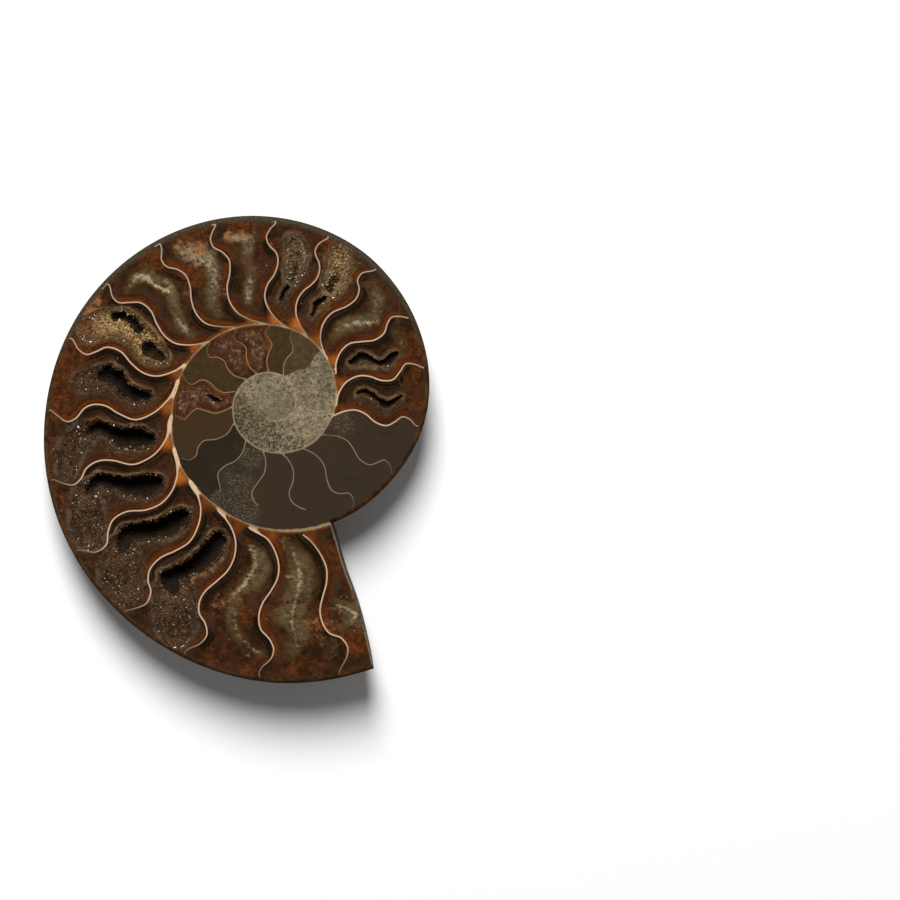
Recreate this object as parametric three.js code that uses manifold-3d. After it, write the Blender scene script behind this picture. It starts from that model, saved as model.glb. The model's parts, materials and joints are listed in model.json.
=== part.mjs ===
// Half of an ammonite, sawn through the plane of its coil and polished, with open chambers lined by crystals.
// Millimetres. The face frame has its origin where the coil's axis meets the polished face, and +Z out of it.
// The whole specimen is then turned so that it lies on its rounded back, as it comes to rest.
import * as THREE from "three";
import { ConvexHull } from "three/addons/math/ConvexHull.js";
import { mergeVertices } from "three/addons/utils/BufferGeometryUtils.js";
import Module from "manifold-3d";

// Coil: the outer edge of the outer whorl, as angle in degrees and radius
const outerEdge = [
  [-61, 32.4], [-30, 35.5], [0, 39.8], [30, 43.1], [45, 44.7], [60, 46.3], [90, 48.5], [120, 50.6],
  [150, 53.0], [180, 55.8], [210, 59.8], [240, 64.0], [270, 68.2], [292.2, 69.9],
];
// Broken end of the last chamber: how far its edge leans back from a radial line, as radius and degrees
const brokenEdgeLean = [[32.4, 0], [42.5, 3.0], [53.0, 4.2], [64.9, 6.0], [69.9, 6.8]];
const firstAngle = -61;
const leanStart = 0.75;
const turnGrowth = 2.2;

// Rounded back
const fullDepth = 18.5;
const depthPower = 0.6;
const navelRadius = 13.3;
const crestPlace = 0.2;
const seamPlace = 0.28;
const shoulderPower = 2.5;
const dimpleShare = 0.9;
const navelPlaces = [0.07, 0.16, seamPlace];
const flankPlaces = [...navelPlaces, 0.4, 0.52, 0.64, 0.75, 0.85, 0.93, 0.98];
const ribCount = 30;
const ribHeight = 0.35;
const ribSweep = 0.16;
const ribStart = [0.3, 0.6];
const ribEnd = [0.93, 1];
const columnCount = 120;

// Bevel where the shell meets the polished face: distance in from the edge, and depth
const rimDepth = 1.6;
const rimSteps = [[0, rimDepth], [0.3, 0.7], [1.1, 0]];

// Open chambers: a spine of points, each with half-width and depth, deep in the slot and shallow on the shelf
const chambers = {
  crystal_crust_1: [
    [-12.6, -32.4, 2.4, 5.0], [-14.6, -35.8, 3.0, 6.5], [-17.8, -38.6, 2.6, 6.5],
    [-21.5, -40.4, 2.3, 6.5], [-25.4, -42.0, 2.3, 5.0], [-23.6, -45.0, 4.8, 3.2],
    [-23.5, -48.5, 5.2, 2.6], [-23.0, -52.5, 5.0, 2.3], [-23.0, -55.5, 3.6, 2.0],
  ],
  crystal_crust_2: [
    [-21.5, -26.6, 2.4, 5.0], [-24.0, -28.3, 2.9, 6.5], [-27.5, -30.0, 2.6, 6.5],
    [-31.5, -30.2, 2.5, 6.5], [-35.4, -31.0, 2.4, 5.0], [-36.5, -35.0, 3.9, 3.2],
    [-37.2, -39.0, 5.0, 2.6], [-36.5, -43.0, 5.0, 2.3], [-35.5, -45.5, 3.4, 2.0],
  ],
  crystal_crust_3: [
    [-27.8, -18.2, 2.2, 5.0], [-30.5, -19.0, 3.2, 6.5], [-34.5, -19.2, 2.5, 6.0],
    [-38.5, -18.2, 2.0, 6.0], [-42.4, -17.4, 1.6, 4.5], [-45.5, -21.0, 2.7, 3.0],
    [-45.5, -24.5, 3.8, 2.4], [-45.0, -29.0, 4.2, 2.2], [-44.5, -32.0, 2.8, 2.0],
  ],
  crystal_crust_4: [
    [-29.8, -7.2, 2.0, 4.5], [-32.5, -7.0, 3.1, 6.0], [-36.0, -7.0, 2.6, 6.0],
    [-39.5, -5.2, 2.0, 6.0], [-42.5, -3.8, 1.7, 4.5], [-46.0, -6.0, 2.6, 3.0],
    [-48.5, -8.5, 3.1, 2.4], [-50.0, -12.0, 2.8, 2.0], [-50.3, -14.8, 2.1, 1.8],
  ],
  crystal_crust_5: [
    [-30.5, 3.4, 1.7, 4.0], [-33.2, 3.6, 2.1, 5.0], [-35.8, 5.2, 2.2, 5.0],
    [-37.6, 7.8, 2.4, 5.0], [-40.0, 9.2, 2.6, 4.5], [-43.0, 7.8, 2.5, 3.0], [-46.5, 7.2, 2.0, 2.0],
  ],
  crystal_crust_6: [
    [-44.0, 20.8, 3.6, 2.4], [-40.0, 22.0, 3.5, 3.4], [-36.0, 21.7, 3.5, 5.0],
    [-32.8, 19.5, 3.1, 4.5], [-30.0, 15.6, 3.6, 5.0], [-26.5, 13.3, 2.0, 3.5],
  ],
  crystal_crust_7: [
    [5.8, 32.6, 1.6, 2.2], [6.6, 35.6, 2.6, 2.2], [7.3, 39.2, 2.7, 2.0], [6.4, 42.3, 2.0, 1.8],
  ],
  crystal_crust_8: [
    [15.4, 30.2, 2.2, 2.6], [16.8, 33.0, 3.0, 2.4], [18.0, 36.0, 3.2, 2.0], [18.0, 39.2, 2.6, 1.8],
  ],
};
// Narrow slits, too tight for a crust of their own
const slits = [
  [[3.3, 27.8, 0.7, 2.0], [4.6, 30.4, 0.9, 2.6], [6.0, 32.6, 0.9, 2.4]],
  [[11.2, 24.0, 0.7, 2.0], [12.0, 26.2, 1.0, 2.8], [14.3, 28.4, 0.9, 2.8], [15.4, 29.6, 1.1, 2.6]],
  [
    [21.0, 11.8, 1.0, 2.4], [23.4, 13.2, 1.3, 3.2], [25.8, 12.8, 1.0, 2.8],
    [28.2, 11.8, 1.0, 2.8], [30.4, 12.2, 1.3, 3.0], [32.2, 13.4, 0.9, 2.2],
  ],
  [
    [22.5, 4.2, 0.8, 2.2], [25.0, 4.3, 1.2, 3.2], [27.2, 3.2, 1.0, 2.8],
    [29.5, 1.8, 1.2, 3.0], [31.8, 2.6, 1.0, 2.8], [33.4, 4.2, 0.8, 2.0],
  ],
  [[-14.3, 3.8, 0.9, 2.2], [-12.9, 3.0, 1.0, 2.4], [-11.9, 2.0, 0.8, 2.0]],
];
const bowlPower = 2.2;
const bowlCap = 1.5;
const gridStep = 1.7;
const slitGridStep = 1.0;
const gridMargin = 1.6;
const gridJitter = 0.28;
const leastWidth = 0.15;
const cutterTop = 3;

// Crystal crusts: gap to the stone, thickness, height of the crystal tips, and the height that they end at
const crustGap = 0.42;
const crustThickness = 0.8;
const crystalHeight = 0.9;
const crustTop = -0.45;
const crustReach = 40;

// Starts of the random streams for the chambers, the slits and the crusts
const chamberSeed = 101;
const slitSeed = 201;
const crustSeed = 301;

const stoneLook = { color: 0x4a2a18, roughness: 0.18, metalness: 0, flatShading: true };
const crystalLook = { color: 0x9a7a52, roughness: 0.35, metalness: 0, flatShading: true };

const wasm = await Module();
wasm.setup();

const radians = THREE.MathUtils.degToRad;

// A steady stream of numbers from 0 to 1
function randomStream(seed) {
  let state = seed;
  return () => {
    state = (state * 1664525 + 1013904223) % 4294967296;
    return state / 4294967296;
  };
}

// Smooth curve through [place, value] pairs
function smoothValue(pairs, place) {
  const last = pairs.length - 1;
  const clamped = THREE.MathUtils.clamp(place, pairs[0][0], pairs[last][0]);
  let k = 0;
  while (k < last - 1 && pairs[k + 1][0] < clamped) k += 1;
  const slope = (a, b) => (pairs[b][1] - pairs[a][1]) / (pairs[b][0] - pairs[a][0]);
  const width = pairs[k + 1][0] - pairs[k][0];
  const startSlope = slope(Math.max(k - 1, 0), k + 1) * width;
  const endSlope = slope(k, Math.min(k + 2, last)) * width;
  const t = (clamped - pairs[k][0]) / width;
  const start = pairs[k][1] * (2 * t ** 3 - 3 * t ** 2 + 1) + startSlope * (t ** 3 - 2 * t ** 2 + t);
  const end = pairs[k + 1][1] * (3 * t ** 2 - 2 * t ** 3) + endSlope * (t ** 3 - t ** 2);
  return start + end;
}

// One radial section of the coil, a share of the way round from the inner end of the outer whorl
function sectionAt(share) {
  const bend = Math.max(0, (share - leanStart) / (1 - leanStart));
  const nominal = firstAngle + 360 * share;
  const [endRadius, endLean] = brokenEdgeLean.at(-1);
  const edgeRadius = smoothValue(outerEdge, nominal - endLean * bend);
  return {
    share,
    edgeRadius,
    seamRadius: navelRadius * turnGrowth ** (share - 1),
    depth: fullDepth * (edgeRadius / endRadius) ** depthPower,
    angleAt: (radius) => radians(nominal - smoothValue(brokenEdgeLean, radius) * bend),
  };
}

function pointAt(section, [radius, height]) {
  const angle = section.angleAt(radius);
  return [radius * Math.cos(angle), radius * Math.sin(angle), height];
}

// How full the back is from the seam of the navel (place 0) to the outer edge (place 1)
function fullness(place, seamShare) {
  if (place < crestPlace) {
    return seamShare + (1 - seamShare) * Math.sqrt(1 - (1 - place / crestPlace) ** shoulderPower);
  }
  return Math.sqrt(1 - ((place - crestPlace) / (1 - crestPlace)) ** 2);
}

// Low ribs that sweep over the outer half of the flank and fade before the navel and the outer edge
function ribRelief(share, place) {
  const { smoothstep } = THREE.MathUtils;
  const strength = smoothstep(place, ...ribStart) * (1 - smoothstep(place, ...ribEnd));
  const sweep = ribSweep * Math.sin(Math.PI * place) ** 2;
  return ribHeight * strength * Math.cos(2 * Math.PI * ribCount * (share + sweep));
}

// Radius and height along one section: from the coil's axis along the back, then up the bevel to the face
function sectionOutline(section) {
  const innerDepth = section.depth * turnGrowth ** -depthPower;
  const innermostDepth = innerDepth * turnGrowth ** -depthPower;
  const innerSeam = section.seamRadius / turnGrowth;
  const innerShare = THREE.MathUtils.lerp(dimpleShare, innermostDepth / innerDepth, section.share);
  const outline = [[0, -innermostDepth], [innerSeam, -innerDepth * innerShare]];
  for (const place of navelPlaces) {
    const radius = THREE.MathUtils.lerp(innerSeam, section.seamRadius, place / seamPlace);
    outline.push([radius, -innerDepth * fullness(place, innerShare)]);
  }
  const seamShare = innerDepth / section.depth;
  for (const place of flankPlaces) {
    const radius = THREE.MathUtils.lerp(section.seamRadius, section.edgeRadius, place);
    const swell = (section.depth - rimDepth) * fullness(place, seamShare) + ribRelief(section.share, place);
    outline.push([radius, -rimDepth - swell]);
  }
  for (const [inward, depth] of rimSteps) outline.push([section.edgeRadius - inward, -depth]);
  return outline;
}

// Triangles that fill an outline of { number, flat } corners, turned clockwise in that flat view or not
function fillOutline(corners, clockwise) {
  const contour = corners.map(({ flat }) => new THREE.Vector2(flat[0], flat[1]));
  const triangles = THREE.ShapeUtils.triangulateShape(contour, []);
  return triangles.flatMap(([a, b, c]) => {
    const side = new THREE.Vector2().subVectors(contour[b], contour[a]);
    const turn = side.cross(new THREE.Vector2().subVectors(contour[c], contour[a]));
    const order = turn < 0 === clockwise ? [a, b, c] : [a, c, b];
    return order.map((k) => corners[k].number);
  });
}

function solidFrom(vertices, triangles) {
  const mesh = new wasm.Mesh({
    numProp: 3,
    vertProperties: new Float32Array(vertices.flat()),
    triVerts: new Uint32Array(triangles),
  });
  return new wasm.Manifold(mesh);
}

function geometryFrom(solid) {
  const mesh = solid.getMesh();
  const geometry = new THREE.BufferGeometry();
  geometry.setAttribute("position", new THREE.BufferAttribute(new Float32Array(mesh.vertProperties), 3));
  geometry.setIndex(new THREE.BufferAttribute(new Uint32Array(mesh.triVerts), 1));
  geometry.computeVertexNormals();
  return geometry;
}

// Columns of { number, flat } corners, one for each section. The last one shares the navel with the first:
// the earlier turn's flank lines run on as the lines of the navel, so the coil closes on itself.
function coilColumns(vertices) {
  const columns = [];
  const shift = navelPlaces.length;
  for (let k = 0; k <= columnCount; k += 1) {
    const section = sectionAt(k / columnCount);
    const outline = sectionOutline(section);
    if (k === 0) vertices.push([0, 0, outline[0][1]]);
    columns.push(outline.map((flat, line) => {
      if (line === 0) return { number: 0, flat };
      if (k === columnCount && line <= shift + 1) return columns[0][line + shift];
      vertices.push(pointAt(section, flat));
      return { number: vertices.length - 1, flat };
    }));
  }
  return columns;
}

// The back, bevel and navel, between one column and the next
function coilSurface(columns) {
  const triangles = [];
  for (let k = 0; k < columnCount; k += 1) {
    const here = columns[k].map((corner) => corner.number);
    const next = columns[k + 1].map((corner) => corner.number);
    triangles.push(0, next[1], here[1]);
    for (let line = 1; line < here.length - 1; line += 1) {
      triangles.push(here[line], next[line], next[line + 1], here[line], next[line + 1], here[line + 1]);
    }
  }
  return triangles;
}

// The stone before its chambers are opened: polished face, bevel, ribbed back, navel and broken end
function wholeStone() {
  const vertices = [];
  const columns = coilColumns(vertices);
  const first = columns[0];
  const last = columns[columnCount];
  const shift = navelPlaces.length;
  const lastSection = sectionAt(1);
  const brokenEdge = brokenEdgeLean.slice(1, -1).map(([radius]) => {
    vertices.push(pointAt(lastSection, [radius, 0]));
    return { number: vertices.length - 1, flat: [radius, 0] };
  });
  const navelStep = first.slice(0, shift + 2);
  const brokenEnd = [...first.slice(2 * shift + 1), ...brokenEdge, ...last.slice(shift + 2).reverse()];
  const face = [...columns.map((column) => column.at(-1)), ...brokenEdge.reverse()];
  const seenFromAbove = face.map(({ number }) => ({ number, flat: vertices[number] }));
  const triangles = [
    ...coilSurface(columns),
    ...fillOutline(navelStep, false),
    ...fillOutline(brokenEnd, true),
    ...fillOutline(seenFromAbove, false),
  ];
  return solidFrom(vertices, triangles);
}

// Height of a chamber's floor at a place, made tighter all round by an inset
function bowlHeight(spine, x, y, inset) {
  let lowest = bowlCap;
  for (let k = 0; k < spine.length - 1; k += 1) {
    const [ax, ay, aWidth, aDepth] = spine[k];
    const [bx, by, bWidth, bDepth] = spine[k + 1];
    const lengthSquared = (bx - ax) ** 2 + (by - ay) ** 2;
    const t = THREE.MathUtils.clamp(((x - ax) * (bx - ax) + (y - ay) * (by - ay)) / lengthSquared, 0, 1);
    const away = Math.hypot(x - THREE.MathUtils.lerp(ax, bx, t), y - THREE.MathUtils.lerp(ay, by, t));
    const width = Math.max(THREE.MathUtils.lerp(aWidth, bWidth, t) - inset, leastWidth);
    const depth = Math.max(THREE.MathUtils.lerp(aDepth, bDepth, t) - inset, leastWidth);
    lowest = Math.min(lowest, depth * ((away / width) ** bowlPower - 1));
  }
  return lowest;
}

// Rows of places over a chamber, each moved a little at random so that no facets line up
function gridOver(spine, step, random) {
  const widest = Math.max(...spine.map(([, , width]) => width)) + gridMargin;
  const low = [0, 1].map((axis) => Math.min(...spine.map((point) => point[axis])) - widest);
  const high = [0, 1].map((axis) => Math.max(...spine.map((point) => point[axis])) + widest);
  const [across, along] = [0, 1].map((axis) => Math.ceil((high[axis] - low[axis]) / step));
  const jitter = () => (2 * random() - 1) * gridJitter;
  const places = [];
  for (let row = 0; row <= along; row += 1) {
    const shift = row % 2 === 0 ? 0 : 0.5;
    for (let column = 0; column <= across; column += 1) {
      const x = low[0] + (column + shift + jitter()) * step;
      const y = low[1] + (row + jitter()) * step;
      places.push([x, y]);
    }
  }
  return { places, across, along };
}

// Closed slab over a grid, between a lower and an upper height at each place
function slab({ places, across, along }, lowerHeights, upperHeights) {
  const lower = places.map(([x, y], k) => [x, y, lowerHeights[k]]);
  const upper = places.map(([x, y], k) => [x, y, upperHeights[k]]);
  const above = places.length;
  const width = across + 1;
  const triangles = [];
  for (let row = 0; row < along; row += 1) {
    for (let column = 0; column < across; column += 1) {
      const a = row * width + column;
      const b = a + 1;
      const c = a + width;
      const d = c + 1;
      const halves = row % 2 === 0 ? [[a, b, c], [b, d, c]] : [[a, b, d], [a, d, c]];
      for (const [p, q, r] of halves) {
        triangles.push(p, r, q, above + p, above + q, above + r);
      }
    }
  }
  const rim = [];
  for (let column = 0; column < across; column += 1) rim.push(column);
  for (let row = 0; row < along; row += 1) rim.push(row * width + across);
  for (let column = across; column > 0; column -= 1) rim.push(along * width + column);
  for (let row = along; row > 0; row -= 1) rim.push(row * width);
  rim.forEach((p, k) => {
    const q = rim[(k + 1) % rim.length];
    triangles.push(p, q, above + q, p, above + q, above + p);
  });
  return solidFrom([...lower, ...upper], triangles);
}

function chamberCutter(spine, step, seed) {
  const grid = gridOver(spine, step, randomStream(seed));
  const floor = grid.places.map(([x, y]) => bowlHeight(spine, x, y, 0));
  return { grid, cutter: slab(grid, floor, floor.map(() => cutterTop)) };
}

// All that lies under a height, near a place
function solidUnder(height, [x, y]) {
  const box = new THREE.BoxGeometry(2 * crustReach, 2 * crustReach, crustReach);
  box.translate(x, y, height - crustReach / 2);
  box.deleteAttribute("normal");
  box.deleteAttribute("uv");
  const merged = mergeVertices(box);
  return solidFrom(Array.from(merged.attributes.position.array), Array.from(merged.index.array));
}

// Crust of crystals on a chamber's floor and walls, with one pointed tip at each place of the grid
function crystalCrust(spine, grid, seed) {
  const random = randomStream(seed);
  const lower = grid.places.map(([x, y]) => bowlHeight(spine, x, y, crustGap));
  const upper = grid.places.map(([x, y], k) => {
    const floor = bowlHeight(spine, x, y, crustGap + crustThickness);
    return Math.max(floor, lower[k] + crustThickness / 2) + random() * crystalHeight;
  });
  const pieces = slab(grid, lower, upper).intersect(solidUnder(crustTop, spine[0])).decompose();
  return pieces.reduce((largest, piece) => (piece.volume() > largest.volume() ? piece : largest));
}

function massCentre(points, order) {
  const centre = new THREE.Vector3();
  let volume = 0;
  for (let k = 0; k < order.length; k += 3) {
    const [a, b, c] = [points[order[k]], points[order[k + 1]], points[order[k + 2]]];
    const part = a.dot(new THREE.Vector3().crossVectors(b, c)) / 6;
    volume += part;
    centre.addScaledVector(new THREE.Vector3().add(a).add(b).add(c), part / 4);
  }
  return centre.divideScalar(volume);
}

// Whether a point in a hull facet's plane lies inside that facet
function insideFacet(facet, point) {
  let edge = facet.edge;
  do {
    const start = edge.tail().point;
    const side = new THREE.Vector3().subVectors(edge.head().point, start);
    const inward = new THREE.Vector3().crossVectors(facet.normal, side);
    if (inward.dot(new THREE.Vector3().subVectors(point, start)) < 0) return false;
    edge = edge.next;
  } while (edge !== facet.edge);
  return true;
}

// Turn that lays a body on the facet of its hull that is straight under its centre of mass
function restingTurn(geometry) {
  const places = geometry.attributes.position;
  const pointAtPlace = (_, k) => new THREE.Vector3().fromBufferAttribute(places, k);
  const points = Array.from({ length: places.count }, pointAtPlace);
  const down = new THREE.Vector3(0, 0, -1);
  const fall = new THREE.Ray(massCentre(points, geometry.index.array), down);
  const support = new ConvexHull().setFromPoints(points).faces.find((facet) => {
    const plane = new THREE.Plane(facet.normal, -facet.constant);
    const landing = facet.normal.dot(down) > 0 ? fall.intersectPlane(plane, new THREE.Vector3()) : null;
    return landing !== null && insideFacet(facet, landing);
  });
  return new THREE.Quaternion().setFromUnitVectors(support.normal, down);
}

// Assembly
let stone = wholeStone();
const crusts = [];
Object.entries(chambers).forEach(([name, spine], k) => {
  const { grid, cutter } = chamberCutter(spine, gridStep, chamberSeed + k);
  stone = stone.subtract(cutter);
  crusts.push([name, crystalCrust(spine, grid, crustSeed + k)]);
});
slits.forEach((spine, k) => {
  stone = stone.subtract(chamberCutter(spine, slitGridStep, slitSeed + k).cutter);
});

const specimen = new THREE.Group();
const stoneGeometry = geometryFrom(stone);
const body = new THREE.Mesh(stoneGeometry, new THREE.MeshStandardMaterial(stoneLook));
body.name = "ammonite_half";
specimen.add(body);
for (const [name, solid] of crusts) {
  const crust = new THREE.Mesh(geometryFrom(solid), new THREE.MeshStandardMaterial(crystalLook));
  crust.name = name;
  specimen.add(crust);
}

specimen.quaternion.copy(restingTurn(stoneGeometry));
const laid = stoneGeometry.clone().applyQuaternion(specimen.quaternion);
laid.computeBoundingBox();
const { min, max } = laid.boundingBox;
specimen.position.set(-(min.x + max.x) / 2, -(min.y + max.y) / 2, -min.z);

const ammonite = new THREE.Group();
ammonite.add(specimen);
export default ammonite;
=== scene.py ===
"""Half of a sawn and polished ammonite, lying on its rounded back with the polished face up.

Lengths are millimetres of the face frame, whose origin is where the coil's axis meets the polished face and
whose +Z comes out of it. Every piece is carried to the row frame, in metres, when its mesh is made.
"""
import json
import math
import bpy
import numpy as np
from mathutils import Matrix, Vector, kdtree
from mathutils.geometry import delaunay_2d_cdt

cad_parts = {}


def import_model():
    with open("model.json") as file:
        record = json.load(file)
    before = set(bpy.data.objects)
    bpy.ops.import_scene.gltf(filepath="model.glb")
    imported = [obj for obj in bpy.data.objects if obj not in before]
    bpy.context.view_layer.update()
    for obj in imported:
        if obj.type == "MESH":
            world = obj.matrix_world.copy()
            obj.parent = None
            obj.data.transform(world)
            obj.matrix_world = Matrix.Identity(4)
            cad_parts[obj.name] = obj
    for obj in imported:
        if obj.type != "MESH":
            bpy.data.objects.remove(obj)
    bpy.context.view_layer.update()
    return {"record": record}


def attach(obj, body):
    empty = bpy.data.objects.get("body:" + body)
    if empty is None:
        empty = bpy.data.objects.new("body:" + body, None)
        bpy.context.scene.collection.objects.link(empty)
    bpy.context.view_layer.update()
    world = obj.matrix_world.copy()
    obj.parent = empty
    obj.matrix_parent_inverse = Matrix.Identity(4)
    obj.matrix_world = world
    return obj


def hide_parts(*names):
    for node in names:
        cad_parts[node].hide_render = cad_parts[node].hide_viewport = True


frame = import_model()

# Coil: outer edge of the outer whorl, and the lean of the broken end, as in the solid
OUTER_EDGE = [
    (-61, 32.4), (-30, 35.5), (0, 39.8), (30, 43.1), (45, 44.7), (60, 46.3), (90, 48.5), (120, 50.6),
    (150, 53.0), (180, 55.8), (210, 59.8), (240, 64.0), (270, 68.2), (292.2, 69.9),
]
BROKEN_EDGE_START = 31.3
BROKEN_EDGE_ANGLES = (299.0, 292.2)
BROKEN_EDGE_LEAN = [(32.4, 0), (42.5, 3.0), (53.0, 4.2), (64.9, 6.0), (69.9, 6.8)]
FIRST_ANGLE = -61
LEAN_START = 0.75
TURN_GROWTH = 2.2
FULL_DEPTH = 18.5
DEPTH_POWER = 0.6
NAVEL_RADIUS = 13.3
CREST_PLACE = 0.2
SEAM_PLACE = 0.28
SHOULDER_POWER = 2.5
DIMPLE_SHARE = 0.9
RIB_COUNT = 30
RIB_HEIGHT = 0.35
RIB_SWEEP = 0.16
# Places across the flank between which the ribs come up and fade
RIB_START = (0.3, 0.6)
RIB_END = (0.93, 1)
# Share of the way round from which the navel turns into the start of the next turn
SETTLE_START = 0.975
RIM_DEPTH = 1.6
RIM_STEPS = [(0, RIM_DEPTH), (0.12, 1.15), (0.3, 0.7), (0.65, 0.28), (1.1, 0)]
# How much the mark of the place grows for each millimetre up the bevel
BEVEL_MARK = 0.1

# Wall between the inner whorls, as angle and radius, running inwards from the outer whorl's inner end
INNER_WALL = [
    (-60, 32.4), (-90, 29.8), (-120, 27.2), (-150, 25.8), (-180, 24.0), (-210, 23.3), (-240, 22.3),
    (-270, 21.4), (-300, 20.6), (-330, 18.7), (-360, 16.5), (-390, 14.3), (-420, 12.0), (-450, 10.4),
    (-480, 9.4), (-510, 9.0), (-540, 8.8), (-570, 9.0), (-600, 9.2), (-630, 9.4), (-660, 9.2), (-690, 7.9),
    (-720, 6.5), (-750, 4.6), (-780, 3.1), (-835, 2.3),
]
INNERMOST_ANGLE = -805

# Degrees of the arcs that the walls are cut into, and how many of the inward ones belong to the main wall
ARC = 31
MAIN_ARCS = 10

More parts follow.
